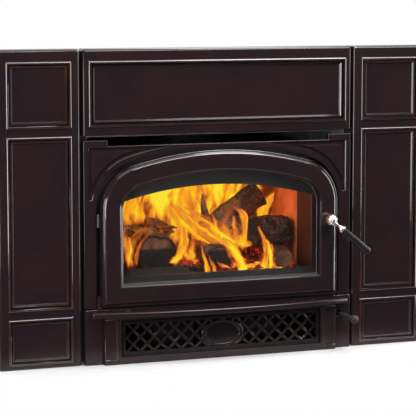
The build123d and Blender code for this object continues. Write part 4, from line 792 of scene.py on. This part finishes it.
def flame_material():
    """Light without a surface: its colour and its cover follow the heat of the points."""
    m, tree, shader, place = new_material("flame")
    heat = attribute(tree, "hotness")
    streak = noise_node(tree, place, 70.0, 4.0, 0.6, stretch=(1.5, 1.0, 0.5), twist=0.6)
    streak = maths(tree, "MULTIPLY", maths(tree, "SUBTRACT", streak, 0.5), 0.16)
    value = maths(tree, "ADD", heat, streak)
    colour = ramp(tree, value, [
        (0.1, (0.42, 0.06, 0.012)), (0.3, (0.66, 0.14, 0.022)), (0.5, (0.90, 0.27, 0.028)),
        (0.72, (1.0, 0.43, 0.016)), (0.9, (1.0, 0.60, 0.014)), (1.0, (1.0, 0.78, 0.035)),
    ])
    cover = ramp(tree, value, [
        (0.08, grey(0.0)), (0.25, grey(0.3)), (0.42, grey(0.75)), (0.62, grey(1.0)),
    ])
    shader.inputs["Base Color"].default_value = (0.0, 0.0, 0.0, 1.0)
    shader.inputs["Specular IOR Level"].default_value = 0.0
    shader.inputs["Roughness"].default_value = 1.0
    tree.links.new(colour, shader.inputs["Emission Color"])
    shader.inputs["Emission Strength"].default_value = 1.0
    cover = maths(tree, "MULTIPLY", cover, attribute(tree, "fade"))
    tree.links.new(cover, shader.inputs["Alpha"])
    return m


flame = flame_material()


def lattice_noise(x, y, seed):
    """Smooth noise from -1 to 1 over arrays of places."""
    n = 64
    table = np.random.RandomState(seed).uniform(-1, 1, (n, n))
    i, j = np.floor(x).astype(int), np.floor(y).astype(int)
    u, v = x - i, y - j
    u, v = u * u * (3 - 2 * u), v * v * (3 - 2 * v)
    a, b = table[i % n, j % n], table[(i + 1) % n, j % n]
    c, d = table[i % n, (j + 1) % n], table[(i + 1) % n, (j + 1) % n]
    return (a * (1 - u) + b * u) * (1 - v) + (c * (1 - u) + d * u) * v


def layers(x, y, seed, octaves=3):
    """Smooth noise with finer and finer noise on it."""
    total, size = 0.0, 1.0
    for k in range(octaves):
        total = total + size * lattice_noise(x * 2 ** k, y * 2 ** k, seed + k)
        size *= 0.55
    return total


def smooth_path(path, parts=4):
    """The points of a tongue joined by a smooth curve."""
    ends = [path[0]] + list(path) + [path[-1]]
    out = []
    for a, b, c, d in zip(ends, ends[1:], ends[2:], ends[3:]):
        for k in range(parts):
            t = k / parts
            out.append([
                0.5 * (2 * q + (r - p) * t + (2 * p - 5 * q + 4 * r - w) * t * t
                       + (3 * q - p - 3 * r + w) * t ** 3)
                for p, q, r, w in zip(a, b, c, d)
            ])
    return out + [list(path[-1])]


def tongue_heat(x, y, path, seed):
    """Heat of one tongue, drawn in the picture as points (x, y, half width, heat).

    A tongue whose heat is below 0 is a dark streak, which takes heat from the others."""
    near = np.full(x.shape, 1e9)
    along, across, heat = np.zeros(x.shape), np.zeros(x.shape), np.zeros(x.shape)
    run = 0.0
    path = smooth_path(path)
    for a, b in zip(path, path[1:]):
        dx, dy = b[0] - a[0], b[1] - a[1]
        size = math.hypot(dx, dy)
        t = np.clip(((x - a[0]) * dx + (y - a[1]) * dy) / size ** 2, 0, 1)
        wide = a[2] + (b[2] - a[2]) * t
        ox, oy = x - a[0] - dx * t, y - a[1] - dy * t
        d = np.hypot(ox, oy) / wide
        closer = d < near
        near = np.where(closer, d, near)
        along = np.where(closer, run + size * t, along)
        across = np.where(closer, (ox * dy - oy * dx) / size, across)
        heat = np.where(closer, a[3] + (b[3] - a[3]) * t, heat)
        run += size
    if path[0][3] < 0:
        return heat * np.exp(-1.2 * near ** 3)
    ragged = near + 0.22 * layers(across / 4.0 + seed, along / 7.0, seed + 11, 2)
    strands = layers(across / 4.5 + seed * 1.7, along / 24.0, seed + 7, 2)
    threads = 1 - 2.2 * np.abs(layers(across / 2.4 + seed * 3.1, along / 17.0, seed, 2))
    threads = np.clip(threads, -1, 1)
    shape = np.exp(-1.2 * np.maximum(ragged, 0) ** 3.2)
    root = np.clip(0.2 + along / (0.9 * path[0][2] + 0.08 * run), 0, 1)
    return heat * shape * root * (0.93 + 0.17 * threads + 0.42 * strands)


flame_side, flame_top, flame_fade = 0.248, 0.428, 0.004  # the brickwork's inside and its top
blend = 2.5  # how sharply the hottest of the tongues that cross decides their heat
faintest = 0.02  # faces with less heat than this are left out


def add_flames(name, depth, box, tongues, seed, bend=14.0, wobble=3.0, step=0.6):
    """A sheet of flame at a depth (mm), over a box of the picture, with its tongues."""
    x0, y0, x1, y1 = box
    nx, ny = int((x1 - x0) / step), int((y1 - y0) / step)
    gx, gy = np.meshgrid(np.linspace(x0, x1, nx + 1), np.linspace(y0, y1, ny + 1))
    wx = gx + wobble * layers(gx / 9, gy / 15, seed + 20)
    wy = gy + wobble * layers(gx / 10, gy / 16, seed + 40)
    hot, cold = np.zeros(gx.shape), np.zeros(gx.shape)
    for k, tongue in enumerate(tongues):
        part = tongue_heat(wx, wy, tongue, seed + 3 * k)
        if tongue[0][3] < 0:
            cold = cold + part
        else:
            hot = hot + np.maximum(part, 0) ** blend
    total = np.maximum(hot ** (1 / blend) + cold, 0)
    away = depth + bend * lattice_noise(gx / 22, gy / 30, seed + 60)
    verts, faces, fades = [], [], []
    for j in range(ny + 1):
        for i in range(nx + 1):
            x, y = gx[j, i], gy[j, i]
            p = at(x, y, away[j, i])
            p.x = max(-flame_side, min(flame_side, p.x))
            verts.append(p)
            rim = min(x - x0, x1 - x, y - y0, y1 - y) / 2.5
            fades.append(max(0.0, min(1.0, rim, (flame_top - p.z) / flame_fade)))
    heats = total.ravel()
    for j in range(ny):
        for i in range(nx):
            a = j * (nx + 1) + i
            quad = (a, a + 1, a + nx + 2, a + nx + 1)
            if max(heats[v] for v in quad) > faintest:
                faces.append(quad)
    obj = mesh_object(name, verts, faces)
    obj.data.materials.append(flame)
    obj.data.polygons.foreach_set("use_smooth", [True] * len(faces))
    point_values(obj.data, "hotness", heats)
    point_values(obj.data, "fade", fades)
    obj.visible_shadow = False


add_flames("flames_back", 245, (116, 172, 268, 248), [
    [(118, 226, 9, 0.66), (125, 210, 11, 0.76), (128, 196, 12, 0.62), (132, 184, 10, 0.7)],
    [(136, 224, 9, 0.72), (140, 206, 10, 0.70), (143, 192, 10, 0.78), (144, 180, 9, 0.7)],
    [(156, 224, 9, 0.72), (158, 204, 11, 0.98), (162, 190, 12, 1.02), (164, 176, 12, 0.9)],
    [(176, 246, 9, 0.9), (176, 226, 11, 0.92), (172, 208, 12, 0.94),
     (170, 190, 12, 0.88), (172, 176, 11, 0.8)],
    [(188, 236, 9, 0.7), (188, 216, 10, 0.70), (186, 198, 10, 0.60), (184, 178, 11, 0.7)],
    [(199, 232, 9, 0.72), (200, 212, 9, 0.8), (198, 196, 9, 0.66), (196, 178, 10, 0.76)],
    [(212, 230, 9, 0.9), (215, 210, 10, 0.95), (216, 194, 11, 0.88), (214, 178, 11, 0.92)],
    [(226, 222, 9, 0.86), (231, 202, 10, 0.90), (236, 188, 10, 0.92), (240, 176, 9, 0.95)],
    [(241, 212, 8, 0.7), (250, 194, 8, 0.85), (258, 182, 7, 0.9), (265, 177, 6, 0.7)],
    [(147, 214, 2.0, -0.2), (146, 203, 2.2, -0.2), (149, 193, 1.8, -0.1)],
    [(192, 206, 3.6, -0.2), (190, 198, 3.4, -0.22), (186, 190, 3, -0.14)],
    [(138, 204, 1.8, -0.2), (135, 193, 2, -0.16)],
    [(125, 200, 2, -0.16), (123, 190, 2, -0.1)],
], 17, wobble=2.2)
add_flames("flames_right_back", 215, (255, 178, 299, 228), [
    [(259, 228, 7, 0.7), (263, 213, 6, 0.85), (268, 202, 5.4, 0.72),
     (275, 193, 4, 0.58), (278, 184, 2.6, 0.35)],
    [(272, 220, 4, 0.5), (278, 205, 3.6, 0.5), (280, 196, 2.6, 0.35)],
    [(291, 226, 5, 0.3), (289, 206, 6, 0.3), (288, 190, 7, 0.2)],
], 31, wobble=1.6)
add_flames("flames_middle", 66, (154, 198, 254, 266), [
    [(168, 200, 7, 0.36), (176, 214, 9, 0.44), (187, 226, 10, 0.46),
     (202, 236, 10, 0.48), (222, 244, 8, 0.54)],
    [(188, 210, 6, 0.38), (202, 222, 8, 0.45), (218, 232, 9, 0.52),
     (236, 240, 8, 0.62), (248, 243, 4, 0.55)],
    [(170, 202, 2.4, 0.4), (179, 217, 2.2, 0.6), (190, 230, 2.0, 0.68),
     (203, 240, 1.8, 0.8), (218, 246, 1.4, 0.95)],
    [(174, 200, 1.8, 0.4), (186, 216, 1.8, 0.58), (198, 227, 1.8, 0.64),
     (212, 236, 1.8, 0.78), (226, 243, 1.6, 1.0)],
    [(184, 206, 1.6, 0.4), (196, 217, 1.6, 0.56), (209, 225, 1.8, 0.66),
     (222, 234, 2.0, 0.84), (234, 242, 2, 1.0)],
    [(203, 222, 2.4, 0.48), (214, 231, 2.8, 0.68), (226, 240, 4, 0.95), (234, 246, 4, 1.0)],
    [(231, 256, 3.0, 0.9), (230, 248, 4.2, 1.0), (228, 241, 4, 0.95), (222, 236, 2.6, 0.7)],
    [(172, 264, 4.4, 0.9), (180, 254, 4.2, 0.85), (184, 240, 3.6, 0.72),
     (183, 226, 3.4, 0.6), (178, 214, 3, 0.45)],
    [(196, 262, 5, 0.5), (186, 250, 6, 0.5), (184, 236, 6, 0.46), (180, 222, 5, 0.4)],
    [(192, 262, 3, 0.6), (191, 248, 3.4, 0.5), (194, 236, 3.2, 0.5), (192, 226, 2.6, 0.4)],
    [(186, 258, 1.2, 0.9), (187, 244, 1.2, 0.9), (186, 230, 1.2, 0.7)],
    [(168, 260, 2.6, 0.5), (166, 246, 2.8, 0.42), (162, 236, 2.6, 0.4),
     (158, 226, 2.2, 0.34), (152, 219, 1.6, 0.25)],
    [(242, 250, 4.6, 0.8), (244, 234, 4, 0.72), (243.5, 220, 3.6, 0.66),
     (240, 211, 3, 0.5), (234, 207, 2, 0.34)],
    [(246, 244, 1.2, 0.9), (247, 230, 1.2, 0.9), (246, 217, 1.1, 0.8), (241, 209, 1, 0.6)],
    [(229, 240, 3.4, 0.62), (225, 227, 3.2, 0.52), (227, 216, 2.6, 0.4), (233, 209, 1.8, 0.25)],
    [(236, 242, 3.2, 0.6), (236, 228, 2.8, 0.55), (233, 218, 2, 0.36)],
    [(216, 232, 2.4, 0.5), (216, 222, 2.2, 0.42), (212, 213, 1.6, 0.3)],
], 52, bend=3.0, wobble=1.6, step=0.5)
add_flames("flames_front", -2, (116, 216, 290, 276), [
    [(130, 268, 5, 0.66), (128, 252, 4.4, 0.50), (125, 238, 3.6, 0.44), (126, 222, 2.6, 0.34)],
    [(120, 266, 3.4, 0.6), (120, 248, 3.2, 0.5), (121, 230, 2.8, 0.4)],
    [(126, 258, 6, 0.34), (130, 242, 7, 0.36), (139, 232, 5, 0.36), (150, 228, 3, 0.26)],
    [(134, 266, 3.0, 0.62), (137, 252, 2.8, 0.46), (141, 241, 2.4, 0.36), (150, 234, 1.8, 0.25)],
    [(128, 262, 1, 0.9), (130, 250, 1, 0.8), (129, 238, 0.9, 0.55)],
    [(168, 262, 2.4, 0.9), (176, 259, 4.2, 1.0), (182, 252, 3.8, 0.95),
     (185, 241, 2.4, 0.6), (184, 229, 1.6, 0.35)],
    [(207, 274, 2.4, 1.0), (205.5, 263, 2.2, 0.95), (203, 254, 1.5, 0.6), (202, 246, 1, 0.3)],
    [(214, 273, 2.4, 0.7), (212, 263, 2.2, 0.55), (208, 255, 1.4, 0.25)],
    [(217, 260, 1.2, 0.7), (222, 265, 2.2, 0.95), (230, 268, 2.0, 0.75), (238, 269, 1.6, 0.8)],
    [(230, 270, 1.6, 0.6), (240, 270, 3.0, 1.0), (248, 267, 2.4, 0.85), (258, 268, 1.6, 0.6)],
    [(241, 274, 4.4, 1.0), (239, 262, 5.4, 1.0), (235, 253, 6, 1.0),
     (229, 246, 5, 0.9), (224, 240, 3, 0.5)],
    [(266, 276, 7.8, 0.92), (267, 262, 7, 0.94), (268, 250, 5.4, 0.88),
     (264, 240, 3.4, 0.66), (259, 228, 1.6, 0.36)],
    [(270, 273, 2, 0.9), (271, 260, 2.2, 1.02), (270, 248, 1.6, 0.8), (266, 240, 1, 0.6)],
    [(281, 273, 2.8, 1.0), (281, 265, 2.2, 0.88), (278, 259, 1.2, 0.4)],
    [(275, 266, 1.2, 0.6), (280, 269, 1.8, 0.85)],
], 73, bend=3.0, wobble=1.1, step=0.5)


def add_lamp(name, kind, place, power, colour):
    """A lamp of a kind that Blender knows, in watts."""
    data = bpy.data.lights.new(name, kind)
    data.energy = power
    data.color = colour
    obj = bpy.data.objects.new(name, data)
    scene.collection.objects.link(obj)
    obj.location = place
    return obj


def fire_lamp(name, place, power, colour, size=0.05):
    """The light that the fire throws on the logs and the bricks; the lamp itself is not seen."""
    obj = add_lamp(name, "POINT", place, power, colour)
    obj.data.shadow_soft_size = size
    obj.visible_camera = obj.visible_glossy = obj.visible_transmission = False


fire_lamp("fire_left", (-0.12, 0.12, 0.35), 1.6, (1.0, 0.40, 0.12))
fire_lamp("fire_middle", (0.05, 0.03, 0.36), 1.3, (1.0, 0.50, 0.26))
fire_lamp("fire_right", (0.16, 0.16, 0.34), 1.15, (1.0, 0.20, 0.05))
fire_lamp("fire_low", (0.12, -0.01, 0.235), 0.07, (1.0, 0.25, 0.05), 0.02)


# ------------------------------------------------------------------ the stage

def area(name, place, target, width, height, power, glints_only=False):
    """A softbox; one with glints_only shows in the enamel and throws no light."""
    obj = add_lamp(name, "AREA", place, power, (1, 1, 1))
    obj.data.shape = "RECTANGLE"
    obj.data.size, obj.data.size_y = width, height
    obj.visible_diffuse = not glints_only
    aim = Vector(target) - Vector(place)
    obj.rotation_euler = aim.to_track_quat("-Z", "Y").to_euler()


def make_floor():
    """A pale floor that fades out round the object."""
    side = 14
    bm = bmesh.new()
    bmesh.ops.create_grid(bm, x_segments=4, y_segments=4, size=side / 2)
    mesh = bpy.data.meshes.new("floor")
    bm.to_mesh(mesh)
    bm.free()
    obj = bpy.data.objects.new("floor", mesh)
    scene.collection.objects.link(obj)
    m, tree, shader, place = new_material("floor_paper")
    shader.inputs["Base Color"].default_value = (0.86, 0.86, 0.86, 1)
    shader.inputs["Roughness"].default_value = 0.9
    shader.inputs["Specular IOR Level"].default_value = 0.1
    out = tree.nodes["Material Output"]
    shape = tree.nodes.new("ShaderNodeMapping")
    shape.inputs["Location"].default_value = (0, -0.5, 0)
    shape.inputs["Scale"].default_value = (0.95, 2.6, 1)
    tree.links.new(place, shape.inputs["Vector"])
    away = tree.nodes.new("ShaderNodeVectorMath")
    away.operation = "LENGTH"
    tree.links.new(shape.outputs["Vector"], away.inputs[0])
    fade = tree.nodes.new("ShaderNodeMapRange")
    fade.interpolation_type = "SMOOTHSTEP"
    fade.inputs["From Min"].default_value = 0.62
    fade.inputs["From Max"].default_value = 1.25
    tree.links.new(away.outputs["Value"], fade.inputs["Value"])
    clear = tree.nodes.new("ShaderNodeBsdfTransparent")
    mix = tree.nodes.new("ShaderNodeMixShader")
    tree.links.new(fade.outputs["Result"], mix.inputs["Fac"])
    tree.links.new(shader.outputs["BSDF"], mix.inputs[1])
    tree.links.new(clear.outputs["BSDF"], mix.inputs[2])
    tree.links.new(mix.outputs["Shader"], out.inputs["Surface"])
    mesh.materials.append(m)


make_floor()


def make_world():
    """A white room for the camera, which is dim in front of the object and pale behind it."""
    world = bpy.data.worlds.new("studio")
    scene.world = world
    world.use_nodes = True
    tree = world.node_tree
    tree.nodes.clear()
    out = tree.nodes.new("ShaderNodeOutputWorld")
    place = tree.nodes.new("ShaderNodeTexCoord")
    split = tree.nodes.new("ShaderNodeSeparateXYZ")
    tree.links.new(place.outputs["Generated"], split.inputs[0])
    behind = tree.nodes.new("ShaderNodeMapRange")
    behind.interpolation_type = "SMOOTHSTEP"
    behind.inputs["From Min"].default_value = -0.1
    behind.inputs["From Max"].default_value = 0.5
    tree.links.new(split.outputs["Y"], behind.inputs["Value"])
    room = ramp(tree, behind.outputs["Result"], [(0.0, (0.10, 0.092, 0.095)), (1.0, grey(0.95))])
    soft = tree.nodes.new("ShaderNodeBackground")
    tree.links.new(room, soft.inputs["Color"])
    white = tree.nodes.new("ShaderNodeBackground")
    white.inputs["Color"].default_value = (1, 1, 1, 1)
    # white for the camera, and behind the object for what mirrors or lets through as well
    rays = tree.nodes.new("ShaderNodeLightPath").outputs
    seen = maths(tree, "MAXIMUM", rays["Is Glossy Ray"], rays["Is Transmission Ray"])
    there = maths(tree, "MULTIPLY", seen, behind.outputs["Result"])
    mix = tree.nodes.new("ShaderNodeMixShader")
    tree.links.new(maths(tree, "MAXIMUM", there, rays["Is Camera Ray"]), mix.inputs["Fac"])
    tree.links.new(soft.outputs["Background"], mix.inputs[1])
    tree.links.new(white.outputs["Background"], mix.inputs[2])
    tree.links.new(mix.outputs["Shader"], out.inputs["Surface"])


make_world()
area("softbox_left", (-1.9, -1.1, 0.45), (0, 0, 0.4), 1.1, 0.85, 21)
area("softbox_right", (2.15, -0.65, 0.55), (0, 0, 0.45), 1.9, 1.5, 42, glints_only=True)
area("softbox_rear", (2.1, 1.3, 0.30), (0, 0, 0.3), 1.4, 1.1, 46, glints_only=True)
area("softbox_above", (0.3, -0.5, 2.15), (0, -0.2, 0.0), 3.0, 2.6, 42)
area("strip_above", (0.84, -1.53, 2.14), (0.0, 0.0, 0.45), 1.7, 0.5, 30)
area("strip_top", (0.58, 0.15, 2.1), (0.0, 0.0, 0.5), 1.7, 0.6, 26)
area("strip_side", (2.05, 0.45, 1.2), (0.1, 0.0, 0.1), 0.6, 0.6, 9)

camera = bpy.data.cameras.new("camera")
camera.sensor_width = sensor
camera.lens = lens
camera.clip_start, camera.clip_end = 0.1, 60.0
camera_object = bpy.data.objects.new("camera", camera)
scene.collection.objects.link(camera_object)
camera_object.location = camera_place
camera_object.rotation_euler = (camera_tilt, 0.0, camera_pan)
scene.camera = camera_object
